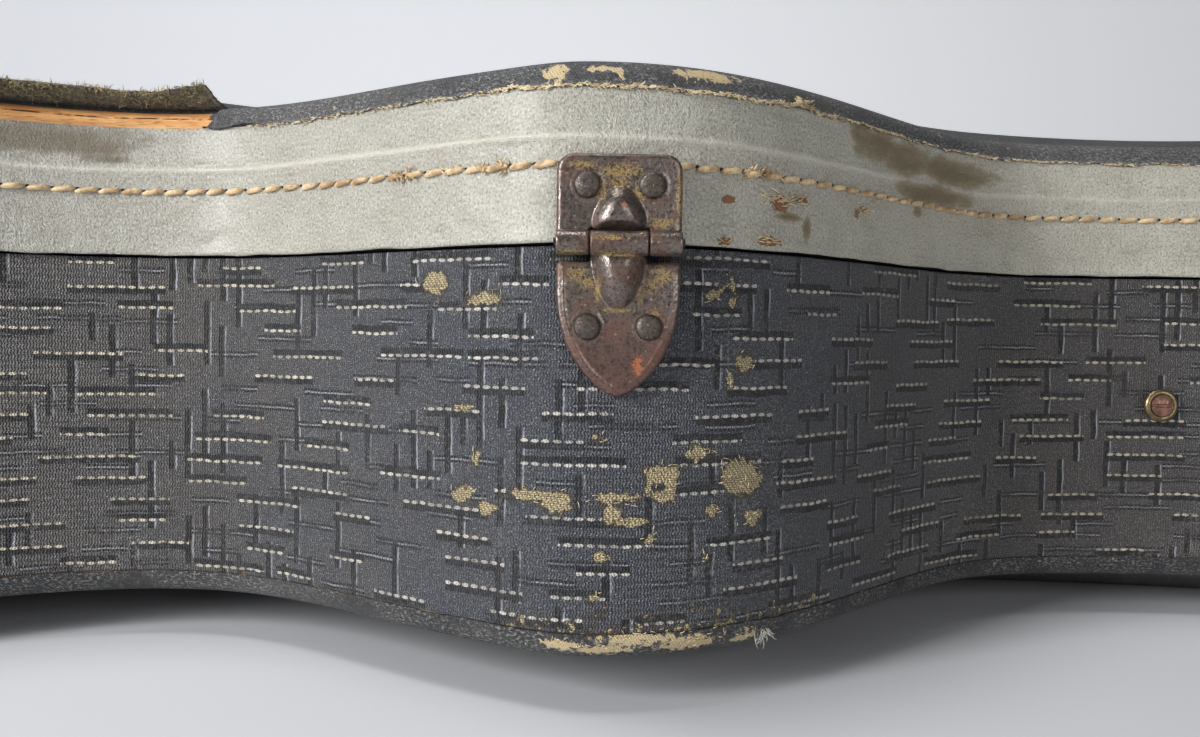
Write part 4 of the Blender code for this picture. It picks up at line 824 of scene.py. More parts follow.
# Share of a place that is stripped of its cover, 1 inside the loose end and 0 beyond it
def strippedShare(s):
    left = np.clip((s - flapPlace["start"]) / 0.010, 0, 1)
    right = np.clip((flapPlace["end"] + 0.0015 - s) / 0.003, 0, 1)
    return (left * left * (3 - 2 * left)) * (right * right * (3 - 2 * right))


# Height of the lid cover's raw lower edge, ragged all the way round
def rawEdgeAt(s):
    ragged = 0.0007 * ripples(s, 0.0, 8, 0.03, 0.0035, 40) + 0.0004 * ripples(s, 0.0, 9, 0.006, 0.002, 40)
    return case["rawEdgeZ"] + ragged


# Cover cloth of the lid or the back. From the crown out along the meridians, over the rounded
# edge, down the wall to its raw edge, back up under itself and in again below the same surface
def coverCloth(name, edgeZ, side, rise, look, node, body, lapZ, rawEdge):
    cols = columns(0.0016, 0.007, True)
    radius, cloth, sunk = case["edgeRadius"], case["cloth"], case["stripDepth"]
    strip = strippedShare(cols) if rawEdge else np.zeros_like(cols)
    swell = 0.0002 * ripples(cols, 0.0, 5, 0.06, 0.012)
    skin = archRows(cols, radius, edgeZ, rise, [*np.linspace(1, 0.11, 13), 0.05, 0.022, 0.0])
    skin[-1][0][:, 2] -= sunk * strip
    outerCount = len(skin) + 12
    # the rounded edge, sunk into the wood where the cover is stripped
    bend = radius - sunk * strip
    for angle in np.radians([75, 60, 45, 30, 15, 0]):
        depth = radius - bend * math.cos(angle)
        z = edgeZ - side * (radius - bend * math.sin(angle))
        skin.append((wallAt(cols, swell * math.cos(angle) - depth, z), edgeZ - side * radius * (1 - angle)))
    wallZ = edgeZ - side * radius
    if rawEdge:
        notches = 0.0006 * np.sign(np.sin(cols * 520)) * np.clip(1 - np.abs(cols - 0.712) / 0.055, 0, 1)
        slack = 0.0012 * np.exp(-((cols - 0.5605) / 0.0055) ** 2)
        rawZ = rawEdgeAt(cols) + 0.0012 * strip + notches + slack
        out = 0.00205 + 0.0003 * ripples(cols, 0.0, 12, 0.04, 0.004, 30)
        for share, lift in ((0.35, 0.30), (0.62, 0.78), (0.85, 0.97), (1.0, 0.92)):
            strip = strippedShare(cols + 0.0026 * share)
            z = wallZ + (rawZ - wallZ) * share
            skin.append((wallAt(cols, (out * lift) * (1 - strip) - sunk * strip, z), np.mean(z)))
        skin.append((wallAt(cols, (out - 0.0004) * (1 - strip) - 0.0018 * strip, rawZ + 0.00015), 0.1524))
        skin.append((wallAt(cols, 0.0001 - 0.0019 * strip, 0.1530 + 0.0006 * strip), 0.1529))
        skin.append((wallAt(cols, 0.0001 - 0.0019 * strip, lapZ), lapZ))
    else:
        ragged = 0.0003 * ripples(cols, 0.0, 18, 0.03, 0.005, 30)
        for share in (0.4, 0.8, 1.0):
            z = wallZ + (lapZ + ragged * share - wallZ) * share
            skin.append((wallAt(cols, 0.0, z), np.mean(z)))
    skin.append((wallAt(cols, -cloth - 0.0010 * strip, skin[-1][0][:, 2]), lapZ))
    bend = radius - cloth - 0.0012 * strip
    for angle in np.radians([0, 22, 45, 68]):
        z = edgeZ - side * (radius - bend * math.sin(angle))
        skin.append((wallAt(cols, bend * math.cos(angle) - radius, z), edgeZ))
    skin += archRows(cols, radius, edgeZ - side * cloth, rise, (0, 0.12, 0.3, 0.55, 0.8, 1.0))
    z = np.stack([row for row, _ in skin])[..., 2]
    outerRows = np.arange(len(skin))[:, None] < outerCount
    wear = painted(cols, z, wallMarks["stripWear" if rawEdge else "bottomWear"]) * outerRows
    if rawEdge:
        frayed = 0.35 + 0.65 * np.clip(0.5 + ripples(cols, 0.0, 21, 0.05, 0.01), 0, 1)
        frayLine = np.clip(1 - np.abs(z - 0.1526) / 0.0011, 0, 1) * frayed * (cols > 0.56) * outerRows
        wear = np.maximum(wear, frayLine * 0.9)
    edge = np.clip(1 - side * (z - edgeZ) / 0.004, 0, 1)
    return spinePiece(name, cols, skin, look, body, "plain_cloth", dict(wear=wear, edge=edge), node)


coverCloth("lid_cover_cloth", case["lidEdgeZ"], 1, lidRise, looks["lidCloth"], "lid_covering", "lid", 0.1173, True)
coverCloth("back_cover_cloth", case["backEdgeZ"], -1, backRise, looks["backCloth"], "back_covering", "base", 0.0197,
           False)
print("stage: cover cloths laid")


# Plywood panel of the lid or the back, with its edge rounded to meet the rim
def plywoodPanel(name, edgeZ, side, rise, node, body):
    cols = columns(0.0035, 0.008, True)
    edgeRadius, thick = case["edgeRadius"], case["plyPanel"]
    radius = edgeRadius - case["cloth"] - case["gap"]
    outerZ = edgeZ - side * (case["cloth"] + case["gap"])
    skin = archRows(cols, edgeRadius, outerZ, rise, (1.0, 0.8, 0.55, 0.3, 0.12, 0.0))
    lowest = math.asin((radius - thick) / radius)
    for angle in np.linspace(math.pi / 2, lowest, 7)[1:]:
        z = edgeZ - side * (edgeRadius - radius * math.sin(angle))
        skin.append((wallAt(cols, radius * math.cos(angle) - edgeRadius, z), z))
    skin += archRows(cols, edgeRadius, outerZ - side * thick, rise, (0.0, 0.3, 0.6, 1.0))
    return spinePiece(name, cols, skin, looks["plywood"], body, "plywood", {}, node, 40)


plywoodPanel("lid_plywood_panel", case["lidEdgeZ"], 1, lidRise, "lid_panel", "lid")
plywoodPanel("back_plywood_panel", case["backEdgeZ"], -1, backRise, "back_panel", "base")


# Bent plywood rim: a plain band between two heights, one wall thickness deep
def plywoodRim(name, low, high, node, body):
    cols = columns(0.0030, 0.008, False)
    outer = case["cloth"] + case["gap"]
    inner = outer + case["plyWall"]
    ease = 0.0004
    spots = [(outer, low + ease), (outer, high - ease), (outer + ease, high), (inner - ease, high),
             (inner, high - ease), (inner, low + ease), (inner - ease, low), (outer + ease, low)]
    rows = [wallAt(cols, -depth, z) for depth, z in spots]
    heights = [low, high, high, high + 0.005, high + 0.005, high + 0.1, high + 0.1, high + 0.105, high + 0.105]
    return ringPiece(name, cols, rows, looks["plywood"], body, "plywood", heights, {}, node, 40)


panelInset = case["cloth"] + 2 * case["gap"] + case["plyPanel"]
plywoodRim("base_plywood_rim", case["backEdgeZ"] + panelInset, case["seamZ"] - case["seamGap"], "base_rim", "base")
plywoodRim("lid_plywood_rim", case["seamZ"] + case["seamGap"], case["lidRimTopZ"], "lid_rim", "lid")
print("stage: plywood bent")


# Plush tub: inside the rim up to the seam with a rolled lip, and across the panel
def plushTub(name, edgeZ, lipZ, side, rise, node, body):
    cols = columns(0.0060, 0.009, True)
    outer = case["cloth"] + 2 * case["gap"] + case["plyWall"]
    inner = outer + case["lining"]
    outerZ = edgeZ - side * (case["cloth"] + 2 * case["gap"] + case["plyPanel"])
    innerZ = outerZ - side * case["lining"]
    middle, half = (outer + inner) / 2, case["lining"] / 2
    lipFootZ = lipZ + side * half
    skin = archRows(cols, outer, outerZ, rise, (1.0, 0.7, 0.4, 0.15, 0.0), 0.3)
    skin.append((wallAt(cols, -outer, lipFootZ), lipZ))
    # the lip rolls over as a half round towards the seam
    for angle in np.radians([30, 60, 90, 120, 150]):
        depth = middle - half * math.cos(angle)
        skin.append((wallAt(cols, -depth, lipZ + side * half * (1 - math.sin(angle))), lipZ))
    soft = 0.0005 * ripples(cols, 0.0, 33, 0.08, 0.02)
    for share in (0.0, 0.15, 0.35, 0.6, 0.82, 0.93):
        z = lipFootZ + (innerZ - lipFootZ) * share
        skin.append((wallAt(cols, -(inner + soft * math.sin(math.pi * share)), z), z))
    # the plush rounds the corner between the wall and the panel
    length, slant = meridianAt(cols)[2:]
    floorDepth = inner + 0.004
    corner = archAt(cols, inner / (length * slant), innerZ, rise)
    onFloor = archAt(cols, floorDepth / (length * slant), innerZ, rise)
    onWall = wallAt(cols, -inner, corner[:, 2] - side * 0.0014)
    skin.append((corner + (onFloor - corner) * 0.4 + (onWall - corner) * 0.6, innerZ))
    skin += archRows(cols, floorDepth, innerZ, rise, (0.0, 0.1, 0.25, 0.45, 0.7, 1.0), 0.3)
    piece = spinePiece(name, cols, skin, looks["plush"], body, "plush", {}, node)
    return piece


plushTub("base_plush_lining", case["backEdgeZ"], case["seamZ"] - case["seamGap"], -1, backRise, "base_lining", "base")
plushTub("lid_plush_lining", case["lidEdgeZ"], case["seamZ"] + case["seamGap"], 1, lidRise, "lid_lining", "lid")
print("stage: plush lined")


# Side cloth: outer face down the wall with a slight slack, turned in at the seam and the lap
def sideCloth():
    cols = columns(0.0020, 0.006, False)
    low, high = case["backEdgeZ"] + case["backLap"] + case["gap"], case["seamZ"] - case["seamGap"]
    zs = np.concatenate([[low], np.linspace(low + 0.0006, high - 0.0006, 46), [high]])
    slack = 0.00025 * ripples(cols, zs[:, None], 41, 0.07, 0.012, 40)
    ease = np.minimum(1, np.minimum(zs - low, high - zs) / 0.002)[:, None]
    out = (slack - 0.00012) * ease - 0.0003 * (1 - ease)
    rows = list(wallAt(cols, out, zs[:, None])) + [wallAt(cols, -0.0010, z) for z in (high, low)]
    heights = [*zs, high + 0.001, high + 0.002]
    rowZ = np.array([*zs, high, low])[:, None]
    wear = painted(cols, rowZ, wallMarks["sideWear"])
    wear = np.maximum(wear, 0.42 * np.clip(1 - (rowZ - low) / 0.010, 0, 1) * (np.abs(cols - 0.70) < 0.05))
    brown = np.clip(0.72 - 0.8 * np.clip(1 - np.abs(cols - 0.685) / 0.17, 0, 1), 0, 1)
    # painted shade along the stretch of wall that turns away from the light, near s 0.78
    shade = np.exp(-((cols - 0.778) / 0.040) ** 2) * 0.38
    # painted shade, near black, packed below the outer knuckles of each hinge
    for hingeName in ("lower", "upper"):
        corner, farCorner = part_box("hinge_pin_" + hingeName)
        middle = nearestWay((corner.x + farCorner.x) / 2, -1)
        shade = np.maximum(shade, 1.6 * painted(cols, rowZ, [(middle, 0.1112, 0.0165, 0.0026)]))
    return ringPiece("side_ribbed_cloth", cols, rows, looks["sideCloth"], "base", "woven_cloth", [*heights, low],
                     dict(wear=wear, brown=brown, shade=shade), "side_covering")


sideCloth()

bandShape = dict(low=0.1152, high=0.1528, face=0.0015, back=0.0003, ridgeZ=0.1405, ridge=0.0007, stitchZ=0.1341)


# Band: its outer face swells to a low crest, creases finely, and rolls in at the lower edge
def bandFace(s, z):
    crest = np.exp(-((z - bandShape["ridgeZ"] - 0.0008 * ripples(s, 0.0, 51, 0.2, 0.05)) / 0.0009) ** 2)
    fade = 0.35 + 0.65 * np.clip(0.5 + ripples(s, 0.0, 52, 0.12, 0.03), 0, 1)
    creases = 0.00018 * ripples(s, z, 53, 0.03, 0.005, 60, 2.0)
    sunk = -0.00035 * np.exp(-((z - bandShape["stitchZ"]) / 0.0022) ** 2)
    return crest * fade, creases + sunk + bandShape["ridge"] * crest * fade


def coatedBand():
    cols = columns(0.0011, 0.005, False)
    low, high, face, back = (bandShape[word] for word in ("low", "high", "face", "back"))
    wave = 0.00035 * ripples(cols, 0.0, 55, 0.05, 0.008, 40)
    roll = 0.0007
    zs = np.concatenate([np.linspace(high, low + roll, 32), bandShape["ridgeZ"] + np.linspace(-0.0021, 0.0021, 9)])
    zs = np.sort(zs)[::-1]
    crest, lift = bandFace(cols[None, :], zs[:, None])
    ease = np.clip(np.minimum(1, (high - zs) / 0.002), 0, 1)[:, None]
    hold = np.clip((zs - low) / 0.006, 0, 1)[:, None]
    out = face + lift * ease - 0.0001 + 0.0004 * np.exp(-((zs[:, None] - low - 0.0012) / 0.0011) ** 2)
    rows = list(wallAt(cols, out, zs[:, None] + wave * (1 - hold)))
    for angle in np.radians([40, 80, 125]):
        depth = out[-1] - roll * 0.55 * (1 - math.cos(angle))
        rows.append(wallAt(cols, depth, low + roll + wave - roll * math.sin(min(angle, math.pi / 2))))
    rows += [wallAt(cols, back, low + 0.0003 + wave), wallAt(cols, back, high),
             wallAt(cols, face - 0.0006, high + 0.00005)]
    heights = [*zs, low, low - 0.0003, low - 0.0006, low - 0.001, low - 0.038, low - 0.039, high]
    extra = len(rows) - len(zs)
    rowZ = np.concatenate([zs, np.full(extra, low)])[:, None]
    marks = dict(stain=painted(cols, rowZ, wallMarks["bandStain"]), chip=painted(cols, rowZ, wallMarks["bandChips"]),
                 crest=np.concatenate([crest, np.zeros((extra, len(cols)))]), along=np.clip((cols - 0.49) / 0.40, 0, 1))
    return ringPiece("lid_coated_band", cols, rows, looks["bandCloth"], "lid", "band_cloth", heights, marks, "lid_band")


coatedBand()
print("stage: side cloth and band wrapped")


# How far the flap rises over its root: a power of the share of its depth, more at its curled
# end and less in the dip before it; with the share of that curled end
def flapCurl(s, share):
    corner = np.clip((s - 0.529) / 0.0165, 0, 1) ** 1.3
    dip = 0.25 * np.exp(-((s - 0.5265) / 0.008) ** 2)
    return (flapPlace["tipZ"] - flapPlace["rootZ"]) * share ** 1.7 * (1 + 0.50 * corner - dip), corner


# Loose flap of the cover: a thin slab, from its root on the lid out past the edge and up
def looseFlap():
    f = flapPlace
    s = np.linspace(f["start"] + 0.004, f["end"], 110)
    depth = np.linspace(f["rootDepth"], -f["reach"], 16)[:, None]
    share = (f["rootDepth"] - depth) / (f["rootDepth"] + f["reach"])
    lifted, corner = flapCurl(s, share)
    under = f["rootZ"] + lifted + 0.0006 * ripples(s, depth, 61, 0.03, 0.005, 50) * share
    out = 0.0007 * ripples(s, 0.0, 62, 0.02, 0.0022, 50) * share ** 2 - depth
    # the end of the flap is cut a little askew and frays
    askew = 0.0004 * corner * ripples(depth * 3, 0.0, 63, 0.01, 0.002) - 0.0004 * (share - 0.35) * corner ** 2
    bottom = wallAt(s + askew, out, under)
    top = wallAt(s + askew, out, under + f["thick"] * (1 - 0.45 * share ** 6))
    section = np.concatenate([bottom, top[::-1]])
    rowCount, colCount = section.shape[:2]
    quads, corners = gridFaces(rowCount, colCount, True, False)
    uv = np.stack([s[corners[..., 1]], corners[..., 0] * 0.0011], axis=-1)
    caps = []
    for k in range(rowCount // 2 - 1):
        first = np.array([k, rowCount - 1 - k, rowCount - 2 - k, k + 1]) * colCount
        caps += [first, first[[3, 2, 1, 0]] + colCount - 1]
    uv = np.concatenate([uv.reshape(-1, 2), np.zeros((len(caps) * 4, 2))])
    piece = newPiece("lid_loose_flap", section.reshape(-1, 3), list(quads) + caps, looks["fuzz"], "lid", "plain_cloth",
                     "lid_covering", uv)
    faceOutwards(piece.data)
    piece.data.materials.append(looks["lidCloth"])
    upper = np.zeros(len(piece.data.polygons), np.int32)
    upper[:len(quads)] = (np.arange(len(quads)) // (colCount - 1)) >= rowCount // 2 - 1
    piece.data.polygons.foreach_set("material_index", upper)
    return piece


looseFlap()


# Many small round strands at once: each follows its own short path of points, with its own
# thickness, a few sides round, capped at both ends
def strands(name, paths, radii, sides, look, body, slot, twist=0.0):
    count, steps = paths.shape[:2]
    along = np.gradient(paths, axis=1)
    along /= np.linalg.norm(along, axis=2, keepdims=True) + 1e-12
    up = np.where(np.abs(along[..., 2:3]) > 0.9, np.array([1.0, 0, 0]), np.array([0, 0, 1.0]))
    side = np.cross(along, up)
    side /= np.linalg.norm(side, axis=2, keepdims=True)
    rise = np.cross(side, along)
    turns = fullTurn(sides)
    roundness = 1 + twist * np.cos(2 * turns[None, None, :] + np.linspace(0, 4 * math.pi, steps)[None, :, None])
    spoke = radii[..., None] * roundness
    points = (paths[:, :, None, :] + side[:, :, None, :] * (spoke * np.cos(turns))[..., None]
              + rise[:, :, None, :] * (spoke * np.sin(turns))[..., None])
    starts = np.arange(count)[:, None] * steps * sides
    quads = (gridFaces(steps, sides, False, True)[0][None] + starts[..., None]).reshape(-1, 4)
    first = starts + np.arange(sides)
    caps = np.concatenate([first[:, ::-1], first + (steps - 1) * sides])
    piece = newPiece(name, points.reshape(-1, 3), list(quads) + list(caps), look, body, slot)
    faceOutwards(piece.data)
    return piece


# Stitches: the ones that the photograph shows, then the same pitch on round the case
stitching = dict(pitch=0.00672, length=0.0063, radius=0.00084, sides=7, steps=7)
seenStitches = [0.4950, 0.5016, 0.5082, 0.5145, 0.5207, 0.5270, 0.5334, 0.5398, 0.5466, 0.5530, 0.5599, 0.5670, 0.5740,
                0.5814, 0.5889]
farStitches = [0.7410, 0.7477, 0.7545, 0.7609, 0.7685, 0.7757, 0.7827, 0.7898, 0.7971, 0.8039, 0.8109, 0.8166, 0.8226,
               0.8287, 0.8353]


def bandStitches():
    between = np.linspace(seenStitches[-1], farStitches[0], 24)[1:-1]
    unseen = perimeter + seenStitches[0] - farStitches[-1]
    after = np.arange(1, round(unseen / stitching["pitch"]))
    after = farStitches[-1] + after * unseen / (len(after) + 1)
    right = np.concatenate([seenStitches, between, farStitches, after])
    count = len(right)
    rng = np.random.default_rng(71)
    length = stitching["length"] * (1 + 0.10 * (rng.random(count) - 0.5))
    share = np.linspace(0, 1, stitching["steps"])
    s = right[:, None] - length[:, None] * (1 - share)
    droop = (0.0009 + 0.0003 * (rng.random(count) - 0.5))[:, None] * (0.5 - share)
    z = bandShape["stitchZ"] + 0.0002 * ripples(right, 0.0, 72, 0.05, 0.01)[:, None] - droop
    hump = np.sin(math.pi * np.clip(share * 0.9 + 0.05, 0, 1)) ** 0.6
    paths = wallAt(s, bandShape["face"] - 0.0005 + 0.0008 * hump, z)
    body = np.array([0.35, 0.85, 1.0, 1.0, 1.0, 0.85, 0.35])
    radii = stitching["radius"] * body[None, :] * (1 + 0.12 * (rng.random(count)[:, None] - 0.5))
    strands("band_stitches", paths, radii, stitching["sides"], looks["stitch"], "lid", "band_cloth", 0.12)
    # the needle's hole at the right end of each stitch, a dimple made dark with painted shade
    turns = fullTurn(7)

    def holeRing(wide, tall, lift):
        return wallAt(right[:, None] + 0.0006 + wide * np.cos(turns), bandShape["face"] - lift,
                      z[:, -1:] - 0.0001 + tall * np.sin(turns))

    rings = [holeRing(0.00062, 0.00055, 0.00045), holeRing(0.00045, 0.0004, 0.00018)]
    points = np.concatenate(rings, axis=1).reshape(-1, 3)
    starts = np.arange(count)[:, None] * 14
    lower = np.arange(7) + starts
    quads = (gridFaces(2, 7, False, True)[0][None] + starts[..., None]).reshape(-1, 4)
    faces = list(quads) + list(lower + 7) + list(lower[:, ::-1])
    newPiece("band_stitch_holes", points, faces, looks["hole"], "lid", "band_cloth")


bandStitches()
print("stage: band stitched")


def scattered(rng, low, high, count):
    return low + (high - low) * rng.random(count)


# Loose fibres: each leaves the surface at its root and bends over in its own way. Lift, length
# and thickness are ranges that rng draws from, or values already drawn
def looseFibres(name, rng, s, z, out, heading, lift, length, thick, look, body, slot, seed, bend=1.0):
    count, own = len(s), np.random.default_rng(seed)
    spans = (lift, length, thick)
    lift, length, thick = [scattered(rng, *span, count) if isinstance(span, tuple) else span for span in spans]
    share = np.linspace(0, 1, 5)
    turn = heading[:, None] + bend * (own.random(count)[:, None] - 0.5) * 2.4 * share
    run = (length / 4)[:, None]
    ds = np.cumsum(np.cos(turn) * run, axis=1) - np.cos(turn[:, :1]) * run
    dz = np.cumsum(np.sin(turn) * run, axis=1) - np.sin(turn[:, :1]) * run
    rise = lift[:, None] * np.sin(share * (1.6 + 1.2 * own.random(count)[:, None]))
    paths = wallAt(s[:, None] + ds, np.reshape(out, (-1, 1)) + rise, z[:, None] + dz)
    radii = thick[:, None] * np.array([0.8, 1.0, 0.9, 0.75, 0.3])
    return strands(name, paths, radii, 4, looks[look], body, slot)


def wornThreads():
    rng = np.random.default_rng(91)
    # along the cover's raw lower edge, thicker where the photograph shows the pale fringe
    runs = ((0.56, 0.92, 420), (0.650, 0.750, 480), (0.92, perimeter + 0.44, 300))
    s = np.concatenate([scattered(rng, *run) for run in runs])
    count = len(s)
    heading = np.where(rng.random(count) < 0.5, 0.0, math.pi) + (rng.random(count) - 0.5) * 0.9
    z = rawEdgeAt(s) + scattered(rng, -0.0002, 0.0004, count)
    looseFibres("raw_edge_fringe", rng, s, z, 0.0019, heading, (0.00005, 0.0003), (0.0005, 0.0016),
                (0.00010, 0.00022), "rawFibre", "lid", "plain_cloth", 92, 0.6)
    # frayed knots in the stitching, and torn threads round the chips of the band
    knots = [(0.6205, 22), (0.6235, 12), (0.6480, 16), (0.6545, 14), (0.7165, 12), (0.7215, 18), (0.7275, 10)]
    s = np.concatenate([rng.normal(place, 0.0012, many) for place, many in knots])
    z = bandShape["stitchZ"] + rng.normal(0, 0.0006, len(s))
    looseFibres("stitch_frays", rng, s, z, 0.0017, scattered(rng, 0, 2 * math.pi, len(s)), (0.0003, 0.0009),
                (0.0008, 0.0021), (0.00018, 0.00034), "stitch", "lid", "band_cloth", 93, 0.5)
    tears = [(0.7272, 0.1283, 30, 0.0020), (0.7345, 0.1290, 14, 0.0022), (0.7637, 0.1297, 12, 0.0022),
             (0.7354, 0.1540, 30, 0.0011), (0.7235, 0.1176, 16, 0.0026), (0.6366, 0.1335, 10, 0.0010),
             (0.7097, 0.1170, 8, 0.0012)]
    s = np.concatenate([rng.normal(place, wide, many) for place, _, many, wide in tears])
    z = np.concatenate([rng.normal(high, 0.0007, many) for _, high, many, _ in tears])
    heading = scattered(rng, -0.5, 0.5, len(s)) + math.pi * (rng.random(len(s)) < 0.5)
    looseFibres("band_tear_threads", rng, s, z, 0.0014, heading, (0.0002, 0.0009), (0.0012, 0.0036),
                (0.00010, 0.00020), "rawFibre", "lid", "band_cloth", 94, 0.6)
    # burlap threads standing out of the worn patches of the side, and the frayed fold below
    spots = wallMarks["sideWear"] + [(s0, z0 + 0.0012, a * 1.2, b) for s0, z0, a, b in wallMarks["bottomWear"]]
    area = np.array([a * b for _, _, a, b in spots]) ** 0.6
    many = np.maximum(4, (area / area.sum() * 260).astype(int))
    s = np.concatenate([rng.normal(spot[0], spot[2] * 0.55, k) for spot, k in zip(spots, many)])
    z = np.concatenate([rng.normal(spot[1], spot[3] * 0.6, k) for spot, k in zip(spots, many)])
    upright = rng.random(len(s)) < 0.35
    heading = np.where(upright, math.pi / 2, 0.0) + (rng.random(len(s)) - 0.5) * 0.7
    looseFibres("side_worn_threads", rng, s, z, -0.00005, heading, (0.00008, 0.0003), (0.0006, 0.0018),
                (0.00008, 0.00014), "rawFibre", "base", "woven_cloth", 95, 0.5)
    # white tuft hanging from the fold
    count = 26
    s, z = rng.normal(0.7255, 0.0010, count), 0.0165 + rng.normal(0, 0.0006, count)
    heading = -math.pi / 2 + (rng.random(count) - 0.5) * 1.6
    looseFibres("fold_tuft", rng, s, z, -0.0003, heading, (0.0001, 0.0007), (0.0020, 0.0048), (0.00008, 0.00016),
                "lintHair", "base", "plain_cloth", 96)


def flapHairs():
    f, rng = flapPlace, np.random.default_rng(97)
    count = 1500
    s = scattered(rng, f["start"] + 0.006, f["end"] - 0.0006, count)
    share = np.where(rng.random(count) < 0.45, 1.0, scattered(rng, 0.35, 1.0, count))
    depth = f["rootDepth"] - share * (f["rootDepth"] + f["reach"])
    z = f["rootZ"] + flapCurl(s, share)[0] + np.where(share >= 1, scattered(rng, 0.0, f["thick"], count), 0.0)
    heading = scattered(rng, 0.0, 2 * math.pi, count)
    lift = np.where(share >= 1, scattered(rng, 0.0002, 0.0009, count), 0.0003)
    looseFibres("flap_hairs", rng, s, z, -depth, heading, lift, (0.0006, 0.0020), (0.00006, 0.00014), "fuzzHair",
                "lid", "plain_cloth", 98)


wornThreads()
flapHairs()
print("stage: loose fibres set")


# Metal parts are drawn in their own place (u along the wall, v up, w outwards) and then set
def setting(spot, along):
    along = Vector(along).normalized()
    matrix = Matrix.Identity(4)
    matrix.col[0][:3] = along
    matrix.col[1][:3] = (0, 0, 1)
    matrix.col[2][:3] = (along[1], -along[0], 0)
    matrix.col[3][:3] = spot
    return matrix


# Closed mesh data from rings of equal count: capped flat at both ends, or joined end to end
def ringSolid(rings, endToEnd=False):
    rings = np.stack(rings)
    rowCount, colCount = rings.shape[:2]
    faces = list(gridFaces(rowCount, colCount, endToEnd, True)[0])
    if not endToEnd:
        faces += [np.arange(colCount)[::-1], np.arange(colCount) + (rowCount - 1) * colCount]
    return rings.reshape(-1, 3), faces


def joined(parts):
    points, faces, start = [], [], 0
    for partPoints, partFaces in parts:
        points.append(partPoints)
        faces += [np.asarray(face) + start for face in partFaces]
        start += len(partPoints)
    return np.concatenate(points), faces


# Turned piece: a profile of (radius, height) carried round the third axis
def turnedRings(profile, sides):
    turns = fullTurn(sides)
    return [np.column_stack([r * np.cos(turns), r * np.sin(turns), np.full(sides, h)]) for r, h in profile]


# Outline of a leaf moved inwards along its own normals by a distance
def insetFlat(outlinePoints, distance):
    points = np.asarray(outlinePoints)
    tangents = directions(points)
    area = np.sum(points[:, 0] * np.roll(points[:, 1], -1) - points[:, 1] * np.roll(points[:, 0], -1))
    inward = np.column_stack([-tangents[:, 1], tangents[:, 0]]) * (1 if area > 0 else -1)
    return points + inward * distance


def finelySpaced(points, spacing):
    points = np.asarray(points)
    closed = np.vstack([points, points[:1]])
    lengths = np.linalg.norm(np.diff(closed, axis=0), axis=1)
    run = np.concatenate([[0], np.cumsum(lengths)])
    places = np.linspace(0, run[-1], max(12, int(run[-1] / spacing)), endpoint=False)
    return np.column_stack([np.interp(places, run, closed[:, k]) for k in (0, 1)])


# Plate with a rounded front edge, from an outline, its back height and its thickness
def platePart(outlinePoints, back, thickness, edge):
    fine = finelySpaced(outlinePoints, 0.0004)
    rings = [np.column_stack([fine, np.full(len(fine), back)])]
    for angle in np.radians([0, 30, 60, 90]):
        inner = insetFlat(fine, edge * (1 - math.cos(angle)))
        rings.append(np.column_stack([inner, np.full(len(fine), back + thickness - edge * (1 - math.sin(angle)))]))
    return ringSolid(rings)


# Bossed form: an outline shrinking to its top point as it rises, faces a little convex
def bossPart(outlinePoints, centre, front, height, shrink):
    fine = finelySpaced(outlinePoints, 0.0004)
    centre = np.asarray(centre)
    rings = [np.column_stack([fine, np.full(len(fine), front - 0.0010)])]
    for share in np.linspace(0, 1, 12):
        size = 1 - shrink * share ** 1.12
        rings.append(np.column_stack([centre + (fine - centre) * size,
                                      np.full(len(fine), front + height * math.sin(share * math.pi / 2))]))
    return ringSolid(rings)


# Tube along u, for a knuckle with its bore
def knucklePart(start, end, radius, bore, centreW):
    turns, ease = fullTurn(40), 0.0003
    profile = [(radius - ease, start), (radius, start + ease), (radius, end - ease), (radius - ease, end), (bore, end),
               (bore, start)]
    return ringSolid([np.column_stack([np.full(40, u), r * np.cos(turns), centreW + r * np.sin(turns)])
                      for r, u in profile], True)


hinge = dict(
    width=0.030, lidHeight=0.0214, lidCorner=0.004, shoulder=0.0040, straight=0.0115, baseLength=0.0366,
    taperFullness=0.66, thickness=0.002, pinOut=0.0033, pinRadius=0.001, pinClearance=0.00025, pinHead=0.0014,
    pinHeadLength=0.0004, knuckle=0.00295, knuckleHalf=0.0069, gap=0.0003, bandLift=0.0015,
    lidRivet=(0.0077, 0.0138), baseRivet=(0.0074, -0.0197), rivetRadius=0.0031, rivetHeight=0.0014, shank=0.0015,
    voxel=0.00024,
)


def quarter(centre, radius, start, steps=6):
    turns = start + np.linspace(0, math.pi / 2, steps)
    return list(zip(centre[0] + radius * np.cos(turns), centre[1] + radius * np.sin(turns)))


def lidLeafOutline():
    half, turn, notch = hinge["width"] / 2, hinge["lidCorner"], hinge["knuckleHalf"] + hinge["gap"]
    foot, top = 0.0008, hinge["knuckle"] + 2 * hinge["gap"]
    points = [(-half, foot), (-notch, foot), (-notch, top), (notch, top), (notch, foot), (half, foot)]
    points += quarter((half - turn, hinge["lidHeight"] - turn), turn, 0.0)
    return points + quarter((turn - half, hinge["lidHeight"] - turn), turn, math.pi / 2)


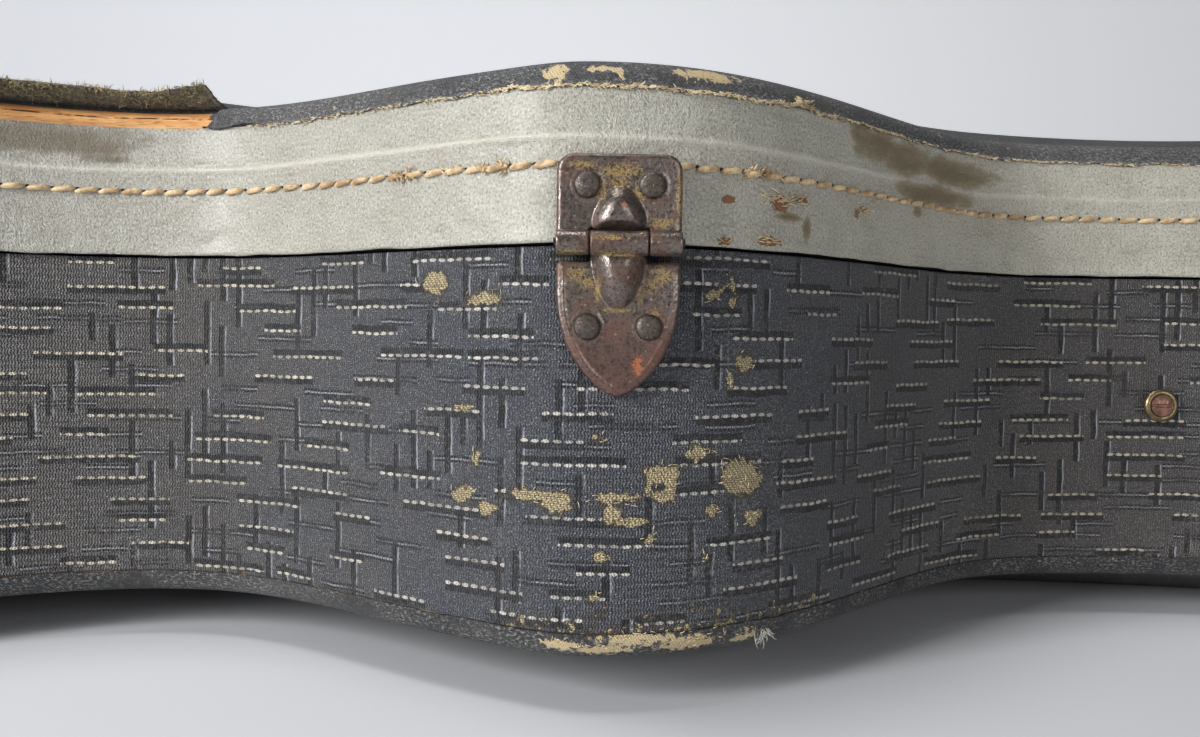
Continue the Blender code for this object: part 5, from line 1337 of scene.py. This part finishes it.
def baseLeafOutline():
    half, length = hinge["width"] / 2, hinge["baseLength"]
    taper = length - hinge["straight"]
    share = np.sin(np.linspace(0, math.pi / 2, 26))
    width = half * (1 - share ** 2) ** hinge["taperFullness"]
    right = list(zip(width, -hinge["straight"] - taper * share))
    neck, shoulder = hinge["knuckleHalf"], -hinge["shoulder"]
    turn = 0.0012
    points = [(neck, -0.0006), (-neck, -0.0006), (-neck, shoulder)]
    points += quarter((turn - half, shoulder - turn), turn, math.pi / 2)
    points += [(-u, v) for u, v in right[:-1]] + right[::-1]
    points += quarter((half - turn, shoulder - turn), turn, 0.0)
    return points + [(neck, shoulder)]


# Pressed arch above the knuckles, and the drop that hangs below them: half widths by height
pressing = dict(
    peak=((0.0034, 0.0055), (0.0037, 0.0063), (0.0056, 0.0065), (0.0076, 0.0060), (0.0096, 0.0050), (0.0114, 0.0038),
          (0.0128, 0.0025), (0.0136, 0.0011)),
    peakTop=(0.0, 0.0070), peakHeight=0.0034, peakShrink=0.86,
    drop=((-0.0012, 0.0060), (-0.0030, 0.0066), (-0.0050, 0.0064), (-0.0080, 0.0058), (-0.0108, 0.0048),
          (-0.0134, 0.0036), (-0.0150, 0.0021), (-0.0157, 0.0009)),
    dropTop=(0.0, -0.0050), dropHeight=0.0046, dropShrink=0.82,
    # yellow wax and fresh rust on the steel: (across, up, half width, half height)
    wax=tenths(
        (0, 171, 50, 17), (-43, 126, 11, 24), (51, 123, 14, 18), (0, 140, 34, 9), (-120, -23, 26, 6),
        (-100, -71, 22, 18), (-74, -92, 18, 14), (103, -74, 24, 20), (76, -100, 18, 16), (-50, -112, 7, 30),
        (0, -158, 34, 6), (53, -123, 7, 26), (-10, -27, 50, 6), (83, -165, 16, 7), (142, 110, 8, 60),
        (-20, 10, 40, 6), (-90, 185, 30, 9), (100, 50, 30, 12)
    ),
    bloom=tenths(
        (48, -290, 12, 24), (10, 90, 8, 6)
    ),
)


def mirroredOutline(rows):
    v, half = np.array(rows).T
    return list(zip(half, v)) + list(zip(-half[::-1], v[::-1]))


# Fuses overlapping closed parts into one pressed skin, then rounds its small steps
def pressedTogether(name, parts, matrix, look, body, slot, node, voxel, rounds=6, marked=True):
    piece = newPiece(name, *joined(parts), look, body, slot, node)
    fuse = piece.modifiers.new("fuse", "REMESH")
    fuse.mode, fuse.voxel_size, fuse.adaptivity = "VOXEL", voxel * 1, 0.0
    ease = piece.modifiers.new("ease", "SMOOTH")
    ease.factor, ease.iterations = 0.5, rounds
    settle(piece)
    mesh = piece.data
    mesh.name = name
    local = np.empty(len(mesh.vertices) * 3)
    mesh.vertices.foreach_get("co", local)
    across, up = local.reshape(-1, 3).T[:2]
    for word in ("wax", "bloom") if marked else ():
        spots = mesh.attributes.new(word, "FLOAT", "POINT")
        spots.data.foreach_set("value", painted(across, up, pressing[word]).astype(np.float32))
    mesh.transform(matrix)
    mesh.shade_smooth()
    if not mesh.materials:
        mesh.materials.append(look)
    return piece


# Raised rim line just inside a leaf's edge, as a thin closed loop that melts into the leaf
def rimLine(outlinePoints, inwards, front, radius):
    fine = insetFlat(finelySpaced(outlinePoints, 0.0005), inwards)
    tangents = directions(fine)
    side = np.column_stack([-tangents[:, 1], tangents[:, 0]]) * radius
    heights = [np.full(len(fine), front + radius * 0.6 * math.sin(a)) for a in fullTurn(8)]
    return ringSolid([np.column_stack([fine + side * math.cos(a), z]) for a, z in zip(fullTurn(8), heights)], True)


def stopHinges():
    h, p = hinge, pressing
    centres = {}
    for name in ("lower", "upper"):
        low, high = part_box("hinge_pin_" + name)
        centres[name] = (low + high) / 2
    along = (centres["upper"] - centres["lower"]).normalized()
    out = Vector((along[1], -along[0], 0))
    half, bore = h["width"] / 2, h["pinRadius"] + h["pinClearance"]
    start = h["knuckleHalf"] + h["gap"]
    lidFront, baseBack = h["gap"] + h["thickness"], h["gap"] - h["bandLift"]
    baseFront = baseBack + h["thickness"]
    lidParts = [platePart(lidLeafOutline(), h["gap"], h["thickness"], 0.0013),
                knucklePart(-half, -start, h["knuckle"], bore, h["pinOut"]),
                knucklePart(start, half, h["knuckle"], bore, h["pinOut"]),
                bossPart(mirroredOutline(p["peak"]), p["peakTop"], lidFront, p["peakHeight"], p["peakShrink"])]
    baseParts = [platePart(baseLeafOutline(), baseBack, h["thickness"], 0.0013),
                 knucklePart(-h["knuckleHalf"], h["knuckleHalf"], h["knuckle"], bore, h["pinOut"]),
                 bossPart(mirroredOutline(p["drop"]), p["dropTop"], baseFront, p["dropHeight"], p["dropShrink"]),
                 rimLine(baseLeafOutline(), 0.0019, baseFront, 0.00036)]
    # a shallow pressed ring round each rivet
    for (u, v), front, parts in ((h["lidRivet"], lidFront, lidParts), (h["baseRivet"], baseFront, baseParts)):
        for side in (-1, 1):
            turns = fullTurn(40)
            ring = np.column_stack([side * u + 0.0036 * np.cos(turns), v + 0.0036 * np.sin(turns)])
            parts.append(rimLine(ring, 0.0, front, 0.00034))
    pinProfile = [(0.0006, -0.6), (0.0014, -0.5), (h["pinHead"] * 0.9, -0.25), (h["pinHead"] * 0.9, 0.0)]
    end = half + h["gap"]
    head = h["pinHeadLength"]
    left = [(r, -end + w * head) for r, w in pinProfile]
    profile = left + [(h["pinRadius"], -end), (h["pinRadius"], end)] + [(r, -z) for r, z in left[::-1]]
    pinPoints, pinFaces = ringSolid(turnedRings(profile, 20))
    pinPoints = pinPoints[:, [2, 1, 0]] * np.array([1, -1, 1])
    dome = [(h["rivetRadius"] * math.cos(a), h["gap"] / 2 + 0.00025 + (h["rivetHeight"] - 0.0003) * math.sin(a))
            for a in np.radians([0, 15, 30, 45, 60, 75, 86])]
    rivetProfile = [(h["shank"], -h["thickness"] - h["gap"] / 2), (h["shank"], h["gap"] / 2),
                    (h["rivetRadius"] * 0.985, h["gap"] / 2)] + dome
    rivet = ringSolid(turnedRings(rivetProfile, 32))
    for name, centre in centres.items():
        place = setting(centre - out * h["pinOut"], along)
        for body, parts in (("lid", lidParts), ("base", baseParts)):
            leaf = f"hinge_{body}_leaf_{name}"
            pressedTogether(leaf + "_pressed", parts, place, looks["hingeSteel"], body, "rusty_steel", leaf, h["voxel"])
        smallPiece(f"hinge_pin_{name}_turned", pinPoints, pinFaces, place @ Matrix.Translation((0, 0, h["pinOut"])),
                   looks["rivetSteel"], "base", "dark_steel", f"hinge_pin_{name}")
        for side, word in ((-1, "left"), (1, "right")):
            for body, (u, v), front in (("lid", h["lidRivet"], lidFront), ("base", h["baseRivet"], baseFront)):
                seat = place @ Matrix.Translation((side * u, v, front))
                smallPiece(f"{body}_rivet_{name}_{word}_domed", *rivet, seat, looks["rivetSteel"], body,
                           "dark_steel", f"{body}_rivet_{name}_{word}")


def smallPiece(name, points, faces, matrix, look, body, slot, node=None, angle=32):
    turned = np.asarray(matrix.to_3x3()) @ np.asarray(points).T
    piece = newPiece(name, turned.T + np.asarray(matrix.translation), faces, look, body, slot, node, angle=angle)
    faceOutwards(piece.data)
    return piece


stopHinges()
print("stage: hinges pressed")


# Side screws: a cupped brass ring and an oval slotted head in it
sideScrew = dict(ring=0.00555, ringHeight=0.0018, head=0.0036, neck=0.0020, dome=0.0009, slot=0.0008, slotDepth=0.0006)


def sideScrews():
    w = sideScrew
    ringProfile = [(w["neck"] + 0.0003, 0.0003), (w["ring"] - 0.0002, 0.0003), (w["ring"], 0.0006),
                   (w["ring"] * 0.985, 0.0010), (w["ring"] * 0.93, 0.00145), (w["ring"] * 0.85, 0.00172),
                   (w["ring"] * 0.78, w["ringHeight"]), (w["ring"] * 0.72, 0.00172), (w["head"] + 0.0003, 0.00144),
                   (w["neck"] + 0.0003, 0.00063)]
    ring, head = ringSolid(turnedRings(ringProfile, 48), True), slottedHead(w, 48)
    for name in ("hinge_side", "latch_side"):
        low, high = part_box("cup_washer_" + name)
        middle = (low + high) / 2
        sign = -1 if name == "hinge_side" else 1
        cad = np.array([v.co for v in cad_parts["side_screw_" + name].data.vertices])
        centre = cad.mean(axis=0)
        s = nearestWay(middle.x, sign)
        out = normalAt(np.array([s]))[0]
        flat = flatAt(np.array([s]))[0]
        lift = float(np.dot(np.array([middle.x, middle.y]) - flat, out))
        spot = Vector((*(flat + out * (lift - 0.00105)), centre[2]))
        place = setting(spot, (-out[1], out[0], 0))
        smallPiece("cup_washer_" + name + "_turned", *ring, place, looks["brass"], "base", "brass",
                   "cup_washer_" + name)
        smallPiece("side_screw_" + name + "_slotted", *head, place, looks["copper"], "base", "brass",
                   "side_screw_" + name)


# Oval head: rings of a low dome, the slot pressed down where a point is within half its width
def slottedHead(w, sides):
    turns, foot, rim = fullTurn(sides), 0.00093, 0.00174
    profile = [(w["neck"], 0.0003), (w["neck"], foot), (w["head"] * 0.99, rim - 0.0001), (w["head"], rim)]
    rings = turnedRings(profile, sides)
    for r in w["head"] * np.array([0.97, 0.88, 0.76, 0.64, 0.52, 0.40, 0.28, 0.16, 0.06]):
        flat = np.column_stack([r * np.cos(turns), r * np.sin(turns)])
        sunk = np.clip((w["slot"] / 2 + 0.00008 - np.abs(flat[:, 1])) / 0.00012, 0, 1)
        rings.append(np.column_stack([flat, rim + w["dome"] * (1 - (r / w["head"]) ** 2) - w["slotDepth"] * sunk]))
    return ringSolid(rings)


sideScrews()


# Round section carried along a path in the x and z directions, with its own radius at each step
def sweptAlong(path, radii, sides):
    path = np.asarray(path)
    along = np.gradient(path, axis=0)
    along /= np.linalg.norm(along, axis=1)[:, None]
    across = np.column_stack([-along[:, 1], along[:, 0]])
    turns, rings = fullTurn(sides), []
    for spot, side, radius in zip(path, across, radii):
        flat = spot + side * (radius * np.cos(turns))[:, None]
        rings.append(np.column_stack([flat[:, 0], radius * np.sin(turns), flat[:, 1]]))
    return ringSolid(rings)


handle = dict(axisZ=0.090, drop=0.038, grip=0.008, stub=0.003, reach=0.0642, sides=28)
gripPath = ((-0.080, 0.0, 0.375), (0.0, 0.040, 0.375), (0.055, 0.134, 0.41), (0.110, 0.450, 0.525),
            (0.237, 0.780, 0.80), (0.513, 0.960, 0.97))


# Grip: bent core under leather, from stub to stub through the low middle
def leatherGrip():
    h = handle
    low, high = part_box("handle_grip")
    axisY = (low.y + high.y) / 2
    bend = 0.058 - 0.005 - h["stub"] * 2
    half = [(h["reach"], 0.0, h["stub"])]
    half += [(bend - inwards * h["drop"], -down * h["drop"], radius * h["grip"]) for inwards, down, radius in gripPath]
    points = np.array(half + [(0.0, -h["drop"], h["grip"])] + [(-x, z, r) for x, z, r in half[::-1]])
    run = np.concatenate([[0], np.cumsum(np.linalg.norm(np.diff(points[:, :2], axis=0), axis=1))])
    fine = np.linspace(0, run[-1], 120)
    curve = np.column_stack([smoothThrough(run, points[:, k], fine) for k in range(3)])
    solid = sweptAlong(curve[:, :2], curve[:, 2], h["sides"])
    place = Matrix.Translation((0, axisY, h["axisZ"]))
    smallPiece("handle_leather_grip", *solid, place, looks["leather"], "handle", "leather", "handle_grip", 60)
    # seam stitches along the inner side of the grip
    grip = (np.abs(curve[:, 0]) < bend - 0.004)
    seam = curve[grip]
    across = np.gradient(seam[:, :2], axis=0)
    across /= np.linalg.norm(across, axis=1)[:, None]
    up = np.column_stack([-across[:, 1], across[:, 0]])
    up *= np.sign(up[:, 1:2] + 1e-9)
    places = np.linspace(2, len(seam) - 3, 34).astype(int)
    base = seam[places, :2] + up[places] * seam[places, 2:3]
    share = np.linspace(-0.5, 0.5, 5)
    flat = base[:, None, :] + across[places][:, None, :] * (share * 0.0019)[None, :, None]
    flat = flat + up[places][:, None, :] * (0.0003 * np.cos(share * math.pi) - 0.0002)[None, :, None]
    paths = np.stack([flat[..., 0], np.full(flat.shape[:2], axisY), flat[..., 1] + h["axisZ"]], axis=-1)
    radii = np.tile(np.array([0.0002, 0.0004, 0.00045, 0.0004, 0.0002]), (len(places), 1))
    strands("handle_seam_stitches", paths, radii, 6, looks["stitch"], "handle", "leather")


# Smooth monotone curve through given places: cubic pieces with limited slopes
def smoothThrough(x, y, at):
    steps = np.diff(x)
    slope = np.diff(y) / steps
    inner = np.where(slope[:-1] * slope[1:] > 0, 2 * slope[:-1] * slope[1:] / (slope[:-1] + slope[1:] + 1e-30), 0.0)
    ends = np.concatenate([[slope[0]], inner, [slope[-1]]])
    k = np.clip(np.searchsorted(x, at) - 1, 0, len(steps) - 1)
    t = (at - x[k]) / steps[k]
    a = 2 * t ** 3 - 3 * t ** 2 + 1
    b = t ** 3 - 2 * t ** 2 + t
    c = -2 * t ** 3 + 3 * t ** 2
    d = t ** 3 - t ** 2
    return a * y[k] + b * ends[k] * steps[k] + c * y[k + 1] + d * ends[k + 1] * steps[k]


leatherGrip()
print("stage: handle wrapped")


# Pad bent into the neck rest's notch: a half round trough, blown up a little by a cloth run
neckPad = dict(x=0.296, length=0.032, top=0.100, half=0.0297, depth=0.0357, thick=0.004, cap=0.0016)


def notchPad():
    p = neckPad
    turns = np.linspace(0, -math.pi, 41)
    start = 0.0007
    outer = np.column_stack([(p["half"] - start) * np.cos(turns), p["top"] + (p["depth"] - start) * np.sin(turns)])
    thin = p["thick"] - start
    inner = np.column_stack([(p["half"] - thin) * np.cos(turns), p["top"] + (p["depth"] - thin) * np.sin(turns)])
    outer[:, 1] -= 0.0006
    inner[:, 1] -= 0.0006
    section = np.concatenate([outer, inner[::-1]])
    xs = p["x"] + np.linspace(-1, 1, 17) * (p["length"] / 2 - start)
    rings = [np.column_stack([np.full(len(section), x), section]) for x in xs]
    points = np.concatenate(rings)
    count = len(section)
    faces = list(gridFaces(len(xs), count, False, True)[0])
    for row, turned in ((0, True), (len(xs) - 1, False)):
        for k in range(len(turns) - 1):
            face = np.array([k, k + 1, count - 2 - k, count - 1 - k]) + row * count
            faces.append(face[::-1] if turned else face)
    piece = newPiece("neck_rest_plush_pad", points, faces, looks["plush"], "base", "plush", "neck_rest_pad")
    faceOutwards(piece.data)
    swellPad(piece, p["cap"])
    return piece


# A few frames of cloth under pressure, the move capped, then one smoothing subdivision
def swellPad(piece, cap):
    remesh = piece.modifiers.new("even", "REMESH")
    remesh.mode, remesh.voxel_size = "VOXEL", 0.0011
    settle(piece)
    before = np.empty(len(piece.data.vertices) * 3)
    piece.data.vertices.foreach_get("co", before)
    swell = piece.modifiers.new("swell", "CLOTH")
    swell.settings.effector_weights.gravity = 0
    swell.settings.use_pressure = True
    swell.settings.uniform_pressure_force = 4
    swell.settings.quality = 5
    for step in range(1, 21):
        bpy.context.scene.frame_set(step)
    settle(piece)
    bpy.context.scene.frame_set(1)
    after = np.empty_like(before)
    piece.data.vertices.foreach_get("co", after)
    move = (after - before).reshape(-1, 3)
    size = np.linalg.norm(move, axis=1, keepdims=True)
    move *= np.minimum(1, cap / (size + 1e-9))
    ends = before.reshape(-1, 3) + move
    low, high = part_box("neck_rest_pad")
    ends = np.clip(ends, np.array(low) + 0.00005, np.array(high) - 0.00005)
    piece.data.vertices.foreach_set("co", ends.ravel())
    divide = piece.modifiers.new("divide", "SUBSURF")
    divide.levels = divide.render_levels = 1
    settle(piece)
    piece.data.shade_smooth()


notchPad()
print("stage: neck pad swollen")

# The fittings whose solid shape is right only take their finish
plainFittings = dict(
    neck_rest="fittingWood", compartment_hinge_strip="fittingWood", compartment_pin="brass", compartment_tab="leather",
    latch_bail_tail="rivetSteel", latch_bail_bout="rivetSteel", latch_bail_head="rivetSteel",
)
for node, finish in plainFittings.items():
    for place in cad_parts[node].material_slots:
        place.material = looks[finish]


# Plush-covered boards of the compartment: the board's edges melt into the cloth glued round them
def softened(node, ending, look, body, slot, voxel, rounds):
    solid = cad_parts[node].data
    points = np.array([v.co for v in solid.vertices])
    pressedTogether(node + ending, [(points, [list(f.vertices) for f in solid.polygons])], Matrix.Identity(4),
                    looks[look], body, slot, node, voxel, rounds, False)


for node, body in (("compartment_wall", "base"), ("compartment_lid", "compartment_lid")):
    softened(node, "_in_plush", "plush", body, "plush", 0.0009, 8)
# stamped latches and handle mounts, their edges rolled over by the press
for word in ("tail", "bout", "head"):
    for part, body in (("plate", "base"), ("catch", "lid"), ("lever", "lever_" + word)):
        softened(f"latch_{part}_{word}", "_stamped", "latchSteel", body, "rusty_steel", 0.00036, 4)
for word in ("tail", "head"):
    softened("handle_mount_" + word, "_stamped", "latchSteel", "base", "rusty_steel", 0.00036, 4)
print("stage: compartment, latches and mounts softened")

# Camera: level look along the case's hinge side, tilted 1.9 degrees down and rolled 0.8
view = dict(
    place=(0.16066, -0.40950, 0.09288), ahead=(-0.15635, 0.98770, 0), right=(0.98770, 0.15635, 0), pitch=1.9245,
    roll=0.7735, lens=29.07,
)


def photographCamera():
    pitch, roll = math.radians(view["pitch"]), math.radians(view["roll"])
    ahead, right, up = Vector(view["ahead"]), Vector(view["right"]), Vector((0, 0, 1))
    look = ahead * math.cos(pitch) - up * math.sin(pitch)
    head = up * math.cos(pitch) + ahead * math.sin(pitch)
    across = right * math.cos(roll) + head * math.sin(roll)
    top = head * math.cos(roll) - right * math.sin(roll)
    matrix = Matrix.Identity(4)
    matrix.col[0][:3], matrix.col[1][:3], matrix.col[2][:3] = across, top, -look
    matrix.col[3][:3] = view["place"]
    data = bpy.data.cameras.new("photograph view")
    data.lens, data.sensor_width, data.sensor_fit, data.clip_start = view["lens"], 36, "HORIZONTAL", 0.01
    camera = bpy.data.objects.new("photograph view", data)
    bpy.context.collection.objects.link(camera)
    camera.matrix_world = matrix
    bpy.context.scene.camera = camera


photographCamera()

studio = dict(
    lamps=[
        ("tall soft lamp", (-0.66, -0.90, 0.44), (0.10, -0.17, 0.07), 0.26, 0.60, 15.4),
        ("low soft fill", (0.95, -1.05, 0.40), (0.50, -0.12, 0.10), 0.80, 0.50, 4.0),
        ("overhead soft lamp", (-0.20, -0.22, 1.65), (0.15, -0.15, 0.0), 0.55, 0.55, 11.5),
    ],
    world=0.09,
    paperGlow=0.60,
)


def softLamp(name, spot, aim, wide, tall, power):
    data = bpy.data.lights.new(name, "AREA")
    data.shape, data.size, data.size_y, data.energy = "RECTANGLE", wide, tall, power
    lamp = bpy.data.objects.new(name, data)
    bpy.context.collection.objects.link(lamp)
    lamp.location = spot
    lamp.rotation_euler = (Vector(aim) - Vector(spot)).to_track_quat("-Z", "Y").to_euler()


for lamp in studio["lamps"]:
    softLamp(*lamp)
world = bpy.data.worlds.new("soft room")
world.use_nodes = True
world.node_tree.nodes["Background"].inputs[0].default_value = (0.93, 0.96, 1.0, 1.0)
world.node_tree.nodes["Background"].inputs[1].default_value = studio["world"]
bpy.context.scene.world = world


# Floor and backdrop in one sheet: flat under the case, then swept up behind it
def paleStage():
    bend = np.radians(np.linspace(10, 90, 9))
    ys = np.concatenate([np.linspace(-2.2, 1.6, 12), 1.6 + 0.9 * np.sin(bend), [2.5, 2.5]])
    zs = np.concatenate([np.zeros(12), 0.9 * (1 - np.cos(bend)), [1.6, 3.2]])
    xs = np.linspace(-3.6, 4.0, 12)
    points = np.stack(np.broadcast_arrays(xs[None, :], ys[:, None], zs[:, None]), axis=-1).reshape(-1, 3)
    faces = gridFaces(len(ys), len(xs), False, False)[0]
    mesh = bpy.data.meshes.new("pale floor and backdrop")
    mesh.from_pydata(points.tolist(), [], faces.tolist())
    mesh.shade_smooth()
    look = newLook("pale matt paper", Roughness=0.7, Emission_Color=colour(236, 238, 243))
    own = ownPlace()
    paper = mixed(spread(axis(own, 2), 0.02, 0.6), colour(208, 209, 213), colour(238, 239, 241))
    # the paper behind glows a little for the camera alone, so that it stays pale without more light
    rays = [put("LightPath", {}, f"Is {kind} Ray") for kind in ("Camera", "Glossy", "Transmission")]
    seen = maths("MAXIMUM", maths("MAXIMUM", rays[0], rays[1]), rays[2])
    glow = seen * spread(axis(own, 2), 0.0, 0.5, 0.0, studio["paperGlow"])
    glow = glow * spread(axis(own, 0), -1.6, 1.9, 1.2, 0.72)
    feed(look.node_tree.nodes["Principled BSDF"], {"Base Color": paper, "Emission Strength": glow})
    mesh.materials.append(look)
    sheet = bpy.data.objects.new("pale floor and backdrop", mesh)
    bpy.context.collection.objects.link(sheet)


paleStage()
scene = bpy.context.scene
scene.view_settings.view_transform = "Standard"
print("stage: lamps and floor set")
